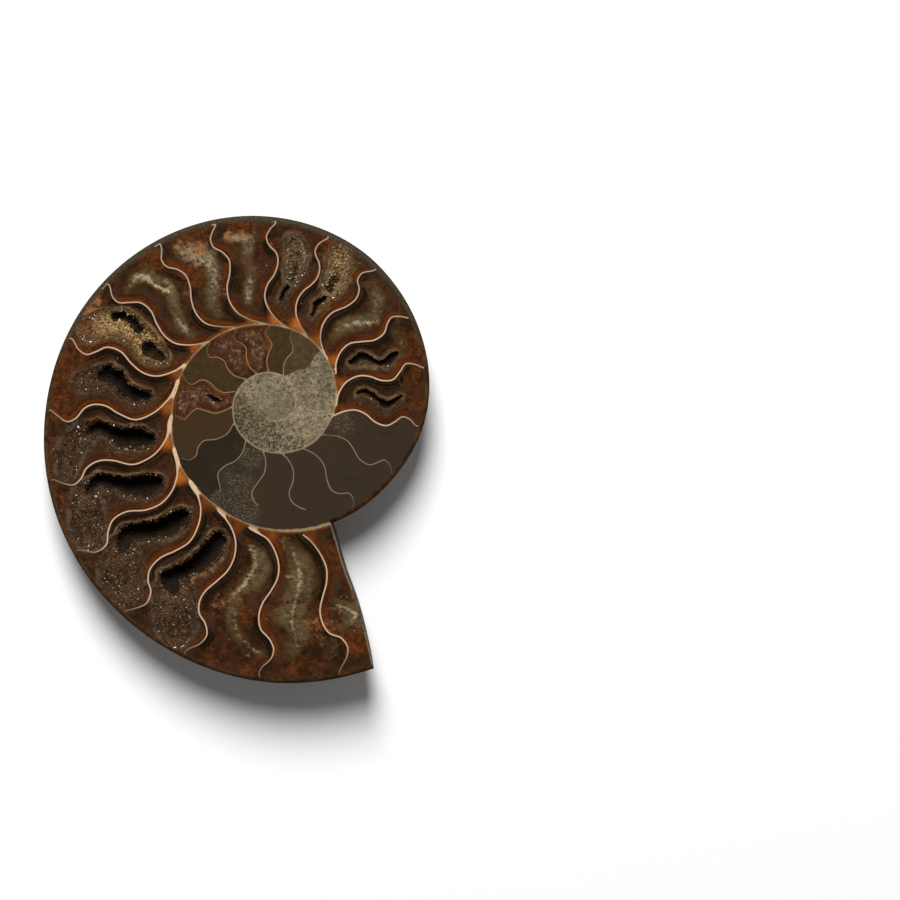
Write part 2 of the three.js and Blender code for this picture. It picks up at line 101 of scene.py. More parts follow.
# Septa from the broken end inwards, each from the inner wall to the outer one, usually 12 degrees apart
USUAL_SPACING = 12
SEPTA = [
    [(8.8, -31.2), (10.9, -33.0), (13.2, -36.2), (14.6, -39.6), (14.6, -43.2), (13.6, -47.0), (13.0, -50.3),
     (13.8, -53.6), (15.4, -55.8), (18.3, -57.0), (19.9, -59.3), (19.6, -61.9), (18.0, -65.0), (17.6, -66.8)],
    [(-4.8, -29.4), (-2.4, -30.8), (-0.1, -32.3), (1.7, -35.2), (2.7, -38.9), (2.3, -42.2), (0.6, -45.4),
     (-1.4, -48.4), (-2.3, -51.6), (-1.8, -54.8), (0.3, -57.2), (1.4, -59.8), (0.7, -62.2), (-1.4, -64.2),
     (-2.2, -65.6), (-2.0, -67.2)],
    [(-12.4, -25.0), (-10.6, -27.2), (-9.0, -29.8), (-8.1, -33.0), (-8.4, -36.6), (-10.0, -40.0),
     (-12.6, -42.6), (-15.6, -45.2), (-17.1, -47.8), (-17.2, -50.8), (-15.7, -53.4), (-15.3, -56.2),
     (-17.0, -58.4), (-20.2, -59.9), (-20.9, -61.0), (-20.2, -62.5)],
    [(-19.4, -18.2), (-17.6, -21.4), (-16.8, -25.0), (-17.5, -29.0), (-19.6, -32.9), (-23.2, -35.2),
     (-26.8, -36.9), (-29.4, -39.6), (-30.0, -42.6), (-29.3, -45.4), (-30.5, -48.4), (-33.6, -49.7),
     (-35.9, -50.3), (-36.6, -51.8)],
    [(-23.5, -10.0), (-22.8, -13), (-22.7, -15.2), (-22.8, -16.8), (-24.0, -20.2), (-26.8, -23.4),
     (-30.7, -25.0), (-35.3, -25.4), (-38.7, -27.4), (-40.0, -30.5), (-40.4, -33.6), (-43.1, -35.5),
     (-47.3, -35.0), (-48.6, -36.2)],
    [(-24.3, -2.0), (-24.9, -3.4), (-25.0, -5.3), (-25.6, -7.4), (-28.2, -10.9), (-32.1, -13.2),
     (-34.5, -13.6), (-38.9, -12.6), (-42.6, -12.8), (-45.4, -14.6), (-46.8, -17.2), (-48.7, -18.7),
     (-51.3, -18.3), (-53.8, -17.4), (-55.0, -17.9)],
    [(-22.7, 7.0), (-23.3, 5.2), (-25.2, 2.4), (-28.6, -0.7), (-33.1, -2.4), (-37.3, -0.9), (-40.5, 1.0),
     (-43.4, 1.4), (-45.8, 0.5), (-48.0, -2.0), (-50.3, -2.9), (-52.9, -1.2), (-54.6, 0.0), (-55.6, -1.3)],
    [(-21.0, 11.4), (-23.3, 9.8), (-27.6, 8.5), (-31.2, 9.3), (-34.2, 11.7), (-36.8, 14.6), (-40.2, 15.7),
     (-43.0, 14.6), (-45.4, 13.9), (-47.4, 15.2), (-49.0, 17.8), (-50.2, 17.8)],
    [(-15.2, 17.0), (-19.0, 16.3), (-22.9, 16.6), (-25.6, 18.3), (-27.7, 21.3), (-29.3, 24.8), (-31.8, 26.8),
     (-34.6, 26.9), (-37.4, 26.9), (-38.9, 28.4), (-39.6, 31.0), (-40.4, 31.6), (-41.4, 30.3)],
    [(-8.6, 20.8), (-12.4, 20.9), (-15.6, 21.7), (-17.9, 24.0), (-19.1, 27.2), (-19.5, 30.8), (-20.6, 33.7),
     (-22.8, 35.2), (-25.2, 35.8), (-26.6, 37.4), (-26.6, 40.0), (-27.0, 41.5), (-28.3, 40.9)],
    [(-1.0, 21.7), (-4.4, 22.6), (-7.6, 24.3), (-9.7, 27.4), (-10.2, 30.8), (-9.6, 34.0), (-9.7, 37.4),
     (-11.6, 39.6), (-13.6, 40.7), (-14.4, 42.8), (-13.6, 45.2), (-13.1, 46.3), (-14.0, 46.3)],
    [(4.6, 20.8), (2.4, 22.5), (0.2, 25.2), (-0.8, 28.2), (-0.2, 31.2), (1.6, 34.0), (2.5, 37.0), (2.0, 39.4),
     (0.3, 41.2), (-0.4, 43.2), (0.5, 45.2), (2.0, 46.9), (1.3, 47.4)],
    [(9.6, 18.9), (8.2, 21.0), (7.1, 23.6), (7.0, 26.0), (7.6, 28.0), (9.0, 29.9), (10.8, 31.3), (12.2, 32.9),
     (12.9, 35.0), (12.7, 37.0), (12.0, 38.5), (11.8, 39.8), (12.4, 41.2), (13.6, 42.2), (15.0, 43.0),
     (15.1, 43.6)],
    [(14.9, 12.8), (13.6, 15.6), (13.1, 18.4), (13.8, 21.6), (16.0, 24.3), (19.6, 25.9), (22.0, 27.8),
     (22.8, 30.2), (22.4, 32.4), (23.5, 34.2), (26.4, 34.9), (27.4, 35.6)],
    [(17.0, 9.2), (17.0, 11.6), (18.2, 14.6), (20.4, 16.6), (23.4, 17.1), (26.6, 17.5), (29.0, 19.2),
     (29.9, 21.7), (31.0, 23.2), (33.0, 23.4), (35.0, 23.0)],
    [(17.1, 1.2), (17.7, 4.2), (19.6, 7.0), (22.6, 8.5), (25.4, 8.4), (28.4, 7.4), (31.2, 7.6), (33.0, 9.6),
     (34.4, 11.5), (36.4, 11.5), (39.2, 10.4)],
    [(16.2, -1.5), (18.8, -0.4), (21.8, 0.0), (24.4, -1.0), (26.8, -3.0), (29.6, -3.9), (31.8, -2.9),
     (33.6, -1.7), (35.4, -2.3), (37.0, -3.9), (38.4, -4.0)],
    [(13.5, -6.2), (17.0, -6.5), (19.8, -7.7), (21.4, -9.8), (22.8, -12.2), (25.4, -13.7), (27.6, -13.0),
     (29.2, -12.5), (30.6, -14.2), (31.0, -17.0)],
    [(8.8, -9.6), (12.0, -11.3), (14.1, -14.0), (14.7, -17.2), (15.9, -20.0), (18.0, -20.9), (20.2, -20.8),
     (21.4, -22.6), (20.6, -25.6)],
    [(2.6, -10.3), (4.8, -12.1), (6.3, -15.0), (6.2, -18.0), (5.3, -20.6), (5.9, -22.8), (7.8, -24.3),
     (9.4, -24.9)],
    [(-1.4, -9.9), (-0.6, -12.6), (-0.9, -15.6), (-2.6, -18.2), (-4.0, -20.6), (-3.6, -22.6), (-2.5, -23.9)],
    [(-5.6, -7.8), (-6.4, -10.6), (-8.2, -12.7), (-10.8, -14.0), (-12.5, -15.8), (-12.3, -18.0),
     (-12.0, -20.0), (-13.4, -21.2)],
    [(-8.6, -3.4), (-10.2, -5.9), (-13.0, -7.3), (-16.0, -7.7), (-17.5, -9.4), (-18.0, -11.4),
     (-19.8, -12.5), (-21.6, -12.0)],
    [(-8.8, 1.0), (-11.0, -0.2), (-13.4, -0.8), (-15.8, -0.1), (-17.8, 0.3), (-19.4, -0.8), (-21.0, -2.4),
     (-23.2, -1.4)],
    [(-8.4, 4.6), (-11.2, 4.4), (-13.2, 5.5), (-14.9, 7.1), (-16.8, 7.5), (-18.9, 6.4), (-20.3, 7.0),
     (-21.2, 8.8)],
    [(-5.6, 7.8), (-8.4, 8.6), (-10.0, 10.2), (-10.9, 12.2), (-12.6, 13.2), (-14.6, 13.2), (-15.2, 15.0),
     (-14.6, 16.6)],
    [(-2.9, 9.2), (-4.6, 10.8), (-5.4, 13.2), (-5.5, 15.4), (-6.6, 16.6), (-8.2, 17.4), (-8.6, 18.8),
     (-8.0, 19.8)],
    [(0.2, 9.4), (-0.3, 12.2), (0.4, 14.9), (1.0, 16.4), (0.2, 17.9), (-0.6, 19.2), (0.3, 20.8)],
    [(3.9, 9.0), (3.9, 11.2), (4.8, 13.0), (6.1, 14.6), (6.1, 16.4), (5.4, 18.0), (6.0, 19.8)],
]

# Where the speckled filling of the innermost whorls begins
GRAIN_EDGE = [(4, 8.5), (5.5, 9), (7.5, 10), (9.5, 10.4), (10.8, 11.8), (11.5, 13.2), (13, 14.8)]
# How many of the septa are in the outer whorl
OUTER_SEPTA = 17

# What fills each chamber, from the broken end inwards
SPAR, MUD, OLIVE, GEODE, CHERT = "spar", "mud", "olive", "geode", "chert"
FILLINGS = [SPAR] * OUTER_SEPTA + [MUD] * 7 + [GEODE, OLIVE, GEODE, GEODE, OLIVE, CHERT]
MUD_TONES = {22: 0.1, 23: 0.95}

# Open chambers, as in the solid: a spine of points, each with half-width and depth
CHAMBERS = {
    "crystal_crust_1": [
        (-12.6, -32.4, 2.4, 5.0), (-14.6, -35.8, 3.0, 6.5), (-17.8, -38.6, 2.6, 6.5),
        (-21.5, -40.4, 2.3, 6.5), (-25.4, -42.0, 2.3, 5.0), (-23.6, -45.0, 4.8, 3.2),
        (-23.5, -48.5, 5.2, 2.6), (-23.0, -52.5, 5.0, 2.3), (-23.0, -55.5, 3.6, 2.0),
    ],
    "crystal_crust_2": [
        (-21.5, -26.6, 2.4, 5.0), (-24.0, -28.3, 2.9, 6.5), (-27.5, -30.0, 2.6, 6.5),
        (-31.5, -30.2, 2.5, 6.5), (-35.4, -31.0, 2.4, 5.0), (-36.5, -35.0, 3.9, 3.2),
        (-37.2, -39.0, 5.0, 2.6), (-36.5, -43.0, 5.0, 2.3), (-35.5, -45.5, 3.4, 2.0),
    ],
    "crystal_crust_3": [
        (-27.8, -18.2, 2.2, 5.0), (-30.5, -19.0, 3.2, 6.5), (-34.5, -19.2, 2.5, 6.0),
        (-38.5, -18.2, 2.0, 6.0), (-42.4, -17.4, 1.6, 4.5), (-45.5, -21.0, 2.7, 3.0),
        (-45.5, -24.5, 3.8, 2.4), (-45.0, -29.0, 4.2, 2.2), (-44.5, -32.0, 2.8, 2.0),
    ],
    "crystal_crust_4": [
        (-29.8, -7.2, 2.0, 4.5), (-32.5, -7.0, 3.1, 6.0), (-36.0, -7.0, 2.6, 6.0),
        (-39.5, -5.2, 2.0, 6.0), (-42.5, -3.8, 1.7, 4.5), (-46.0, -6.0, 2.6, 3.0),
        (-48.5, -8.5, 3.1, 2.4), (-50.0, -12.0, 2.8, 2.0), (-50.3, -14.8, 2.1, 1.8),
    ],
    "crystal_crust_5": [
        (-30.5, 3.4, 1.7, 4.0), (-33.2, 3.6, 2.1, 5.0), (-35.8, 5.2, 2.2, 5.0),
        (-37.6, 7.8, 2.4, 5.0), (-40.0, 9.2, 2.6, 4.5), (-43.0, 7.8, 2.5, 3.0), (-46.5, 7.2, 2.0, 2.0),
    ],
    "crystal_crust_6": [
        (-44.0, 20.8, 3.6, 2.4), (-40.0, 22.0, 3.5, 3.4), (-36.0, 21.7, 3.5, 5.0),
        (-32.8, 19.5, 3.1, 4.5), (-30.0, 15.6, 3.6, 5.0), (-26.5, 13.3, 2.0, 3.5),
    ],
    "crystal_crust_7": [
        (5.8, 32.6, 1.6, 2.2), (6.6, 35.6, 2.6, 2.2), (7.3, 39.2, 2.7, 2.0), (6.4, 42.3, 2.0, 1.8),
    ],
    "crystal_crust_8": [
        (15.4, 30.2, 2.2, 2.6), (16.8, 33.0, 3.0, 2.4), (18.0, 36.0, 3.2, 2.0), (18.0, 39.2, 2.6, 1.8),
    ],
}
# Narrow slits, written in the same way, of which the first two lie beside crystals
SLITS = [
    [(3.3, 27.8, 0.4, 1.6), (4.6, 30.4, 0.6, 2.2), (6.0, 32.6, 0.45, 1.8)],
    [(11.2, 24.0, 0.4, 1.6), (12.0, 26.2, 0.65, 2.4), (14.3, 28.4, 0.5, 2.0), (15.4, 29.6, 0.75, 2.2)],
    [
        (20.6, 11.7, 0.5, 1.6), (23.2, 13.4, 0.95, 2.8), (25.6, 12.6, 0.7, 2.2),
        (28.0, 11.6, 0.5, 2.0), (30.2, 12.4, 1.1, 2.6), (32.2, 14.2, 0.6, 1.8),
    ],
    [
        (22.2, 4.2, 0.45, 1.4), (24.6, 4.6, 0.8, 2.0), (27.2, 3.0, 0.6, 2.0),
        (29.4, 1.4, 0.95, 2.4), (31.6, 2.4, 0.6, 1.8), (33.1, 3.4, 0.45, 1.4),
    ],
    [(-15.0, 3.7, 0.35, 1.2), (-13.3, 2.7, 0.55, 1.8), (-11.9, 2.3, 0.4, 1.2)],
]
# Deep parts of the golden chamber, each as x, y, radius
GOLDEN_PITS = [
    (-38.2, 23.6, 1.4), (-36.6, 24.2, 1.7), (-34.8, 23.9, 1.8), (-33.3, 22.2, 1.8), (-32.4, 20.4, 1.3),
    (-29.6, 15.0, 2.1), (-27.6, 13.2, 2.0), (-26.4, 12.4, 1.5),
]
# Share of golden calcite in some hollows, each as x, y, radius
GOLD = [
    (-44.0, 21.0, 6.0), (-39.0, 22.0, 6.0), (-34.0, 20.0, 6.0), (-29.0, 15.0, 5.5), (17.0, 34.5, 5.5),
    (16.4, 30.0, 3.5), (13.0, 26.5, 3.0),
]
# Floor of a hollow: power of its curve, greatest height outside it and least half-width
BOWL_POWER = 2.2
BOWL_CAP = 1.5
LEAST_WIDTH = 0.15

# Cloudy spar in the middle of some chambers: strokes of points, each with half-width and strength
PALE_STROKES = [
    [(16.4, -47.6, 1.0, 0.5), (18.8, -49.0, 1.6, 0.9), (21.6, -50.6, 1.9, 1.0), (22.6, -53.4, 1.6, 0.8)],
    [(20.6, -52.6, 1.5, 0.8), (18.4, -54.2, 1.2, 0.5)],
    [(21.2, -45.4, 0.7, 0.6), (22.2, -49.0, 1.0, 0.8), (23.6, -55.5, 0.8, 0.5)],
    [
        (6.0, -35.0, 1.5, 0.7), (7.8, -37.9, 2.5, 0.9), (8.2, -41.1, 3.0, 1.0), (8.0, -43.7, 3.1, 1.0),
        (7.2, -46.8, 3.0, 1.0), (5.6, -50.3, 3.9, 1.0), (6.8, -53.2, 3.6, 0.9), (8.0, -56.0, 2.6, 0.9),
        (6.6, -59.6, 2.2, 0.6), (5.0, -61.6, 1.2, 0.4),
    ],
    [(12.4, -57.6, 1.6, 0.3), (16.0, -58.6, 2.0, 0.35), (15.4, -61.2, 2.0, 0.3)],
    [
        (-4.0, -34.4, 0.9, 0.8), (-2.2, -36.4, 1.7, 1.0), (-1.8, -39.4, 2.3, 1.0), (-3.6, -42.6, 2.4, 1.0),
        (-6.4, -44.6, 1.9, 0.8), (-9.2, -47.0, 1.6, 0.6), (-11.6, -48.6, 1.2, 0.3),
    ],
    [(-7.4, -47.2, 1.6, 0.7), (-9.0, -50.4, 1.6, 0.75), (-9.4, -53.0, 1.5, 0.6), (-7.4, -56.6, 1.4, 0.5)],
    [(-4.4, -46.8, 0.8, 0.5), (-5.4, -50.0, 0.7, 0.4)],
    [(-6.4, -58.0, 1.6, 0.3), (-3.4, -60.6, 1.2, 0.2), (-0.8, -61.4, 1.2, 0.4)],
    [
        (-35.6, 30.0, 1.0, 0.5), (-33.4, 32.6, 1.3, 0.8), (-30.6, 33.8, 1.4, 1.0), (-28.0, 32.2, 1.5, 1.0),
        (-25.6, 31.0, 1.9, 1.0), (-24.4, 28.8, 1.7, 1.0),
    ],
    [(-29.6, 35.4, 0.9, 0.5), (-28.6, 33.4, 1.2, 0.7)],
    [
        (-23.9, 28.6, 1.6, 1.0), (-23.3, 26.2, 1.3, 1.0), (-22.6, 23.4, 1.3, 0.95), (-21.4, 20.8, 1.5, 0.8),
        (-19.1, 18.6, 1.2, 0.6),
    ],
    [
        (-22.2, 40.2, 1.5, 0.9), (-18.4, 40.0, 2.2, 1.0), (-15.6, 38.8, 2.3, 1.0), (-14.2, 36.0, 2.0, 0.95),
        (-13.4, 32.6, 1.8, 0.9), (-14.1, 29.2, 2.0, 0.8), (-13.6, 26.4, 1.7, 0.7), (-12.2, 23.6, 1.0, 0.5),
    ],
    [(-10.2, 43.2, 1.0, 0.7), (-8.0, 43.6, 1.3, 0.8), (-5.4, 42.9, 1.7, 0.8), (-4.9, 40.4, 1.6, 0.8)],
    [
        (-4.9, 40.4, 1.6, 0.8), (-5.2, 37.8, 1.6, 0.6), (-4.0, 35.2, 1.6, 0.6), (-4.5, 32.4, 1.4, 0.8),
        (-5.0, 29.8, 1.3, 0.9), (-4.8, 27.2, 1.0, 0.8),
    ],
    [(16.2, 17.8, 1.0, 0.5), (18.4, 20.8, 1.7, 0.9), (22.4, 22.0, 1.9, 1.0), (26.4, 22.6, 1.6, 0.9)],
    [(26.6, 24.0, 1.8, 0.5), (27.6, 27.4, 2.0, 0.8), (26.4, 30.8, 1.7, 0.5), (25.6, 33.2, 1.0, 0.3)],
    [(31.4, 19.6, 1.2, 0.4), (33.2, 17.2, 1.3, 0.5), (33.6, 14.6, 0.9, 0.35)],
    [(20.6, 10.4, 0.8, 0.5), (25.0, 10.7, 0.9, 0.6), (30.0, 10.3, 0.9, 0.6), (32.8, 12.0, 0.7, 0.4)],
]
# White veins in the cloudy spar, written in the same way
VEINS = [
    [
        (-34.9, 30.9, 0.5, 0.5), (-33.6, 32.4, 0.7, 0.9), (-32.4, 33.3, 1.0, 1.1), (-30.3, 33.2, 0.8, 1.2),
        (-28.4, 31.2, 0.45, 1.2), (-26.8, 30.4, 0.5, 1.3), (-24.9, 29.6, 0.6, 1.3),
    ],
    [(-25.8, 31.9, 0.9, 0.7), (-24.3, 30.4, 1.0, 0.7), (-23.4, 27.4, 0.6, 0.4)],
    [(-22.7, 23.6, 0.5, 0.5), (-21.8, 21.6, 0.8, 1.0), (-20.6, 20.2, 0.8, 0.9), (-19.4, 18.8, 0.5, 0.6)],
    [(-22.0, 39.8, 1.3, 0.6), (-19.6, 40.2, 1.7, 0.8), (-17.0, 38.8, 1.9, 0.8), (-14.8, 37.2, 1.8, 0.8)],
    [(-14.8, 37.2, 1.8, 0.8), (-13.4, 34.2, 1.3, 0.7), (-13.6, 31.0, 1.3, 0.6), (-14.0, 27.6, 1.1, 0.5)],
    [(-20.8, 38.6, 1.6, 0.8), (-16.4, 37.2, 1.8, 0.9)],
    [(-10.0, 43.0, 0.8, 0.8), (-8.0, 43.2, 0.9, 1.0), (-5.4, 42.5, 1.0, 0.7), (-4.8, 39.8, 0.9, 0.5)],
    [(-4.4, 33.2, 0.6, 0.6), (-5.0, 30.2, 0.8, 0.8), (-4.8, 27.9, 0.6, 1.1)],
    [
        (17.4, 20.2, 0.6, 0.6), (19.7, 21.3, 0.6, 0.9), (22.5, 21.9, 0.7, 1.0), (25.6, 21.8, 0.6, 0.95),
        (27.6, 22.4, 0.4, 0.6),
    ],
    [(26.5, 30.6, 0.7, 0.4), (27.5, 27.7, 0.9, 0.5), (26.4, 24.6, 0.7, 0.5)],
    [
        (5.6, -34.6, 0.6, 0.6), (7.4, -38.0, 0.6, 0.8), (8.0, -41.1, 0.6, 0.85), (7.9, -43.0, 0.8, 1.0),
        (7.3, -46.6, 0.5, 0.75), (6.2, -50.0, 0.45, 0.7), (6.0, -53.4, 0.5, 0.9), (6.8, -56.6, 0.4, 0.7),
        (7.4, -60.4, 0.4, 0.5),
    ],
    [(4.6, -41.6, 0.5, 0.6), (8.2, -42.2, 0.5, 0.7), (11.0, -42.4, 0.4, 0.4)],
    [(2.2, -51.0, 0.5, 0.5), (6.2, -51.4, 0.4, 0.6), (10.6, -52.4, 0.5, 0.4)],
    [
        (-4.2, -34.2, 0.7, 0.8), (-3.3, -36.8, 0.7, 0.9), (-3.2, -39.2, 0.6, 0.8), (-4.8, -41.9, 0.8, 1.0),
        (-6.0, -43.6, 0.7, 1.1), (-8.9, -46.8, 0.4, 0.6), (-11.4, -48.6, 0.4, 0.4),
    ],
    [(-8.6, -50.6, 0.4, 0.6), (-8.2, -54.0, 0.5, 0.7), (-6.8, -57.2, 0.5, 0.6), (-3.6, -59.9, 0.6, 0.6)],
    [(-5.2, -61.4, 0.4, 0.7), (-2.4, -60.4, 0.6, 0.7)],
    [(16.8, -48.6, 0.4, 0.7), (20.2, -49.9, 0.5, 1.0), (22.0, -51.2, 0.8, 1.0), (21.0, -53.0, 0.7, 0.6)],
    [(20.6, 10.6, 0.5, 0.5), (25.0, 10.9, 0.6, 0.8), (30.0, 10.4, 0.6, 0.8), (32.8, 12.2, 0.4, 0.4)],
    [(32.6, 19.0, 0.6, 0.4), (33.6, 15.4, 0.5, 0.4)],
    [(-26.4, -33.0, 0.6, 0.7), (-23.6, -32.0, 0.7, 1.0), (-21.2, -30.4, 0.6, 0.8)],
    [(-40.5, -9.8, 0.6, 0.4), (-36.6, -10.6, 0.6, 0.5), (-33.6, -11.2, 0.5, 0.4)],
]
# Amber near the inner wall, each as x, y, radius and strength
AMBER = [
    (-9.0, 19.6, 2.6, 0.45), (-3.0, 22.4, 2.6, 0.50), (2.6, 23.0, 3.0, 0.75), (7.6, 21.9, 3.2, 0.90),
    (12.2, 18.3, 3.0, 0.50), (16.2, 13.0, 2.2, 0.70), (18.6, 7.3, 1.9, 0.55), (19.3, 1.0, 1.8, 0.45),
    (-17.6, 15.4, 2.6, 0.50), (-23.0, 9.0, 2.6, 0.42), (-25.0, 3.0, 2.8, 0.50), (-24.6, -0.6, 2.8, 0.72),
    (-25.0, -8.4, 3.0, 0.75), (-21.6, -16.4, 3.4, 1.1), (-15.2, -24.4, 2.4, 0.40), (-6.4, -30.2, 2.6, 0.62),
    (2.8, -32.0, 3.2, 0.66), (11.5, -31.8, 2.0, 0.42), (-17.5, -1.4, 1.6, 0.6),
]
# Dark gaps in the cloudy spar, each as x, y, radius
BLOTCHES = [
    (2.3, -47.9, 1.3), (6.3, -51.8, 0.8), (5.0, -48.2, 0.5), (7.5, -48.0, 0.6), (9.9, -60.0, 1.3),
    (-7.7, -52.1, 0.7), (22.3, -64.9, 1.2), (-3.6, -49.4, 1.2), (3.6, -55.6, 1.2), (-17.4, 35.6, 1.4),
    (-27.2, 27.8, 1.4), (-2.6, 37.6, 1.0), (24.6, 19.4, 1.0),
]
# Cream wedges where a septum meets the wall, each as x, y, radius and strength
WEBS = [(-3.2, -30.4, 1.8, 0.75), (-11.6, -26.2, 1.6, 0.4), (10.2, -32.2, 1.0, 0.5), (-18.6, -19.8, 1.4, 0.4)]
# Redder stone, each as x, y, radius and, where it is weaker, strength
EMBER = [
    (-51, 9, 6.0), (-52.5, 1, 4.0), (-49, 14, 5.0), (-46.5, 23.5, 4.0), (-44, 28, 3.4), (37, 16, 5.0, 0.8),
    (-54, -8, 4.0, 0.6), (-54, -14, 3.5, 0.45), (37, 8, 4.0, 0.5), (37, 1, 3.5, 0.6), (-53, -22, 4.0, 0.6),
    (-50.5, -31, 4.0, 0.7), (-38, -49, 4.0, 0.8), (-24, -58.5, 4.0, 0.8), (-14, -61.5, 3.0, 0.6),
    (-5, -64.5, 3.0, 0.6), (20, -36.5, 5.0), (22.5, -42, 3.5), (22.2, -58, 4.0), (6, -64.5, 2.5, 0.6),
    (-5.5, -51, 2.4), (12.5, -64.5, 2.5, 0.7), (12.0, -53, 2.6), (-1.0, -50.5, 1.8), (-18, 43.8, 4.0),
    (-7, 46.4, 4.0), (16, 42.5, 3.5), (-29, 37.5, 3.5), (12.5, -50.5, 2.8), (-18.5, 33.5, 3.6),
    (-12, 31, 2.0), (24, -49, 1.0),
]
# Golden and orange stone, each as x, y, radius and strength
PEACH = [
    (-42.8, 27.2, 1.5, 0.75), (-44.4, 25.0, 1.7, 0.85), (-45.8, 22.4, 1.6, 0.85), (-46.4, 19.6, 1.4, 0.6),
    (-9.8, 43.3, 1.7, 0.75), (-6.8, 43.5, 1.8, 0.70), (-3.6, 43.2, 1.5, 0.45), (-21.8, 40.8, 2.0, 0.55),
    (-17.4, 40.2, 2.6, 0.72), (-14.8, 37.4, 1.6, 0.45), (10.8, -53.6, 2.8, 0.42), (12.4, -57.0, 2.4, 0.34),
    (15.4, -53.6, 2.4, 0.40), (17.4, -50.6, 2.4, 0.36), (-27.0, 17.6, 1.4, 0.6), (-11.8, -48.4, 2.4, 0.40),
    (-8.4, -46.6, 2.0, 0.42), (4.2, -33.2, 1.8, 0.36), (1.4, 40.6, 1.6, 0.36), (20.8, -38.0, 2.6, 0.36),
    (-11.4, 29.6, 1.5, 0.35), (-20.0, 28.6, 1.5, 0.35), (-18.6, -42.4, 1.3, 0.5), (-16.0, -41.2, 1.3, 0.6),
    (-13.8, -39.6, 1.2, 0.6), (-11.8, -37.6, 1.1, 0.5),
]
# Grit in the mud, each as x, y, radius
SPECKLE = [
    (-4, -12, 3.2), (-6, -18, 3.0), (-7, -22, 4.2), (-5, -26, 3.6), (-12.5, -23, 3.2), (18.5, -3.4, 3.4),
    (-9.0, -17, 2.4), (16.0, -3.0, 1.6),
]
# Half-widths of the pale lines of septa and walls
LINE_HALF = 0.165
INNER_LINE_HALF = 0.11
WALL_HALF = 0.23
LOW_WALL_HALF = 0.44
INNER_WALL_HALF = 0.17
# Webs of line where a septum meets the wall: everywhere, at the left and at the places of WEBS
WEB = 0.15
LEFT_WEB = 0.75
WIDEST_WEB = 1.8
# Radius within which the inner lines are dull
DULL_RADIUS = 40
# Hollows: unevenness of their edges, the points that make a dark slot, which are those below a depth and all
# points of short spines, and how far a slit beside crystals counts as a slot
RAGGEDNESS = 0.55
SLOT_DEPTH = 3.3
SLIT_POINTS = 6
CRYSTAL_SLITS = 2
CRYSTAL_SLIT_SHARE = 0.6
# Towards the light in the face, in the upper coil and low at the right
LIT_SIDE = np.array([-0.2, 0.98])
LOW_LIT_SIDE = np.array([0.6, 0.8])
# Distances that stand for far away: in the face's fields, from its lines, and in a search for the least one
FAR = 9.0
LINE_REACH = 6
NO_LIMIT = 1e9
# How much further away a septum counts on the side that a band is not on
BAND_WIDTH = 3.5

# Clear space between the face's free points and its lines and edge, and the reach of a hollow's fine points
LINE_CLEARANCE = 0.16
EDGE_CLEARANCE = 0.2
FINE_REACH = 0.5

# Mesh steps of the face, its hollows, its lines, the back, the broken end and the crusts
FACE_STEP = 0.46
HOLLOW_STEP = 0.27
LINE_STEP = 0.3
COLUMNS = 420
BROKEN_STEP = 0.7
BROKEN_POINTS = 90
BROKEN_NORMAL = 29
CRUST_STEP = 0.36
CRUST_INSET = 0.03
CRUST_START = 0.16
SLOPE_STEP = 0.15
ROW_SPACING = 0.866
JITTER = 0.22
SEED = 7

# Large odd numbers that scramble a place into a steady random number
COLUMN_HASH, ROW_HASH, SEED_HASH, FINAL_HASH = 374761393, 668265263, 974634777, 1274126177


def mix(a, b, t):
    """From a to b, a share t of the way."""
    return a + (b - a) * t


def smooth(value, low, high):
    """0 at low, 1 at high and an S-curve between, at an array of values."""
    t = np.clip((value - low) / (high - low), 0, 1)
    return t * t * (3 - 2 * t)


def smooth_value(pairs, place):
    """Smooth curve through (place, value) pairs, at an array of places."""
    xs, ys = np.array(pairs, float).T
    place = np.clip(place, xs[0], xs[-1])
    k = np.clip(np.searchsorted(xs[1:], place), 0, len(xs) - 2)
    before = np.maximum(k - 1, 0)
    after = np.minimum(k + 2, len(xs) - 1)
    width = xs[k + 1] - xs[k]
    start_slope = (ys[k + 1] - ys[before]) / (xs[k + 1] - xs[before]) * width
    end_slope = (ys[after] - ys[k]) / (xs[after] - xs[k]) * width
    t = (place - xs[k]) / width
    start = ys[k] * (2 * t**3 - 3 * t**2 + 1) + start_slope * (t**3 - 2 * t**2 + t)
    end = ys[k + 1] * (3 * t**2 - 2 * t**3) + end_slope * (t**3 - t**2)
    return start + end


def smooth_path(points, step):
    """Points every step or less along a smooth curve through the given points."""
    points = np.array(points, float)
    reach = np.concatenate([[0], np.cumsum(np.hypot(*np.diff(points, axis=0).T))])
    places = np.linspace(0, reach[-1], max(2, int(reach[-1] / step) + 2))
    columns = [smooth_value(list(zip(reach, values)), places) for values in points.T]
    return np.stack(columns, axis=1)


def value_noise(x, y, seed):
    """Smooth random heights from 0 to 1, one for each whole step of x and y."""
    column, row = np.floor(x).astype(np.int64), np.floor(y).astype(np.int64)
    across, along = smooth(x - column, 0, 1), smooth(y - row, 0, 1)

    def corner(i, j):
        number = (column + i) * COLUMN_HASH + (row + j) * ROW_HASH + seed * SEED_HASH
        number = (number ^ (number >> 13)) * FINAL_HASH & 0x7FFFFFFF
        return ((number ^ (number >> 16)) & 0xFFFF) / 0xFFFF

    low = mix(corner(0, 0), corner(1, 0), across)
    high = mix(corner(0, 1), corner(1, 1), across)
    return mix(low, high, along)


def noise_sum(points, *layers):
    """Layers of noise added up, each given as strength, steps to the millimetre and seed."""
    x, y = points.T
    return sum(strength * value_noise(x * rate, y * rate, seed) for strength, rate, seed in layers)


# Coil


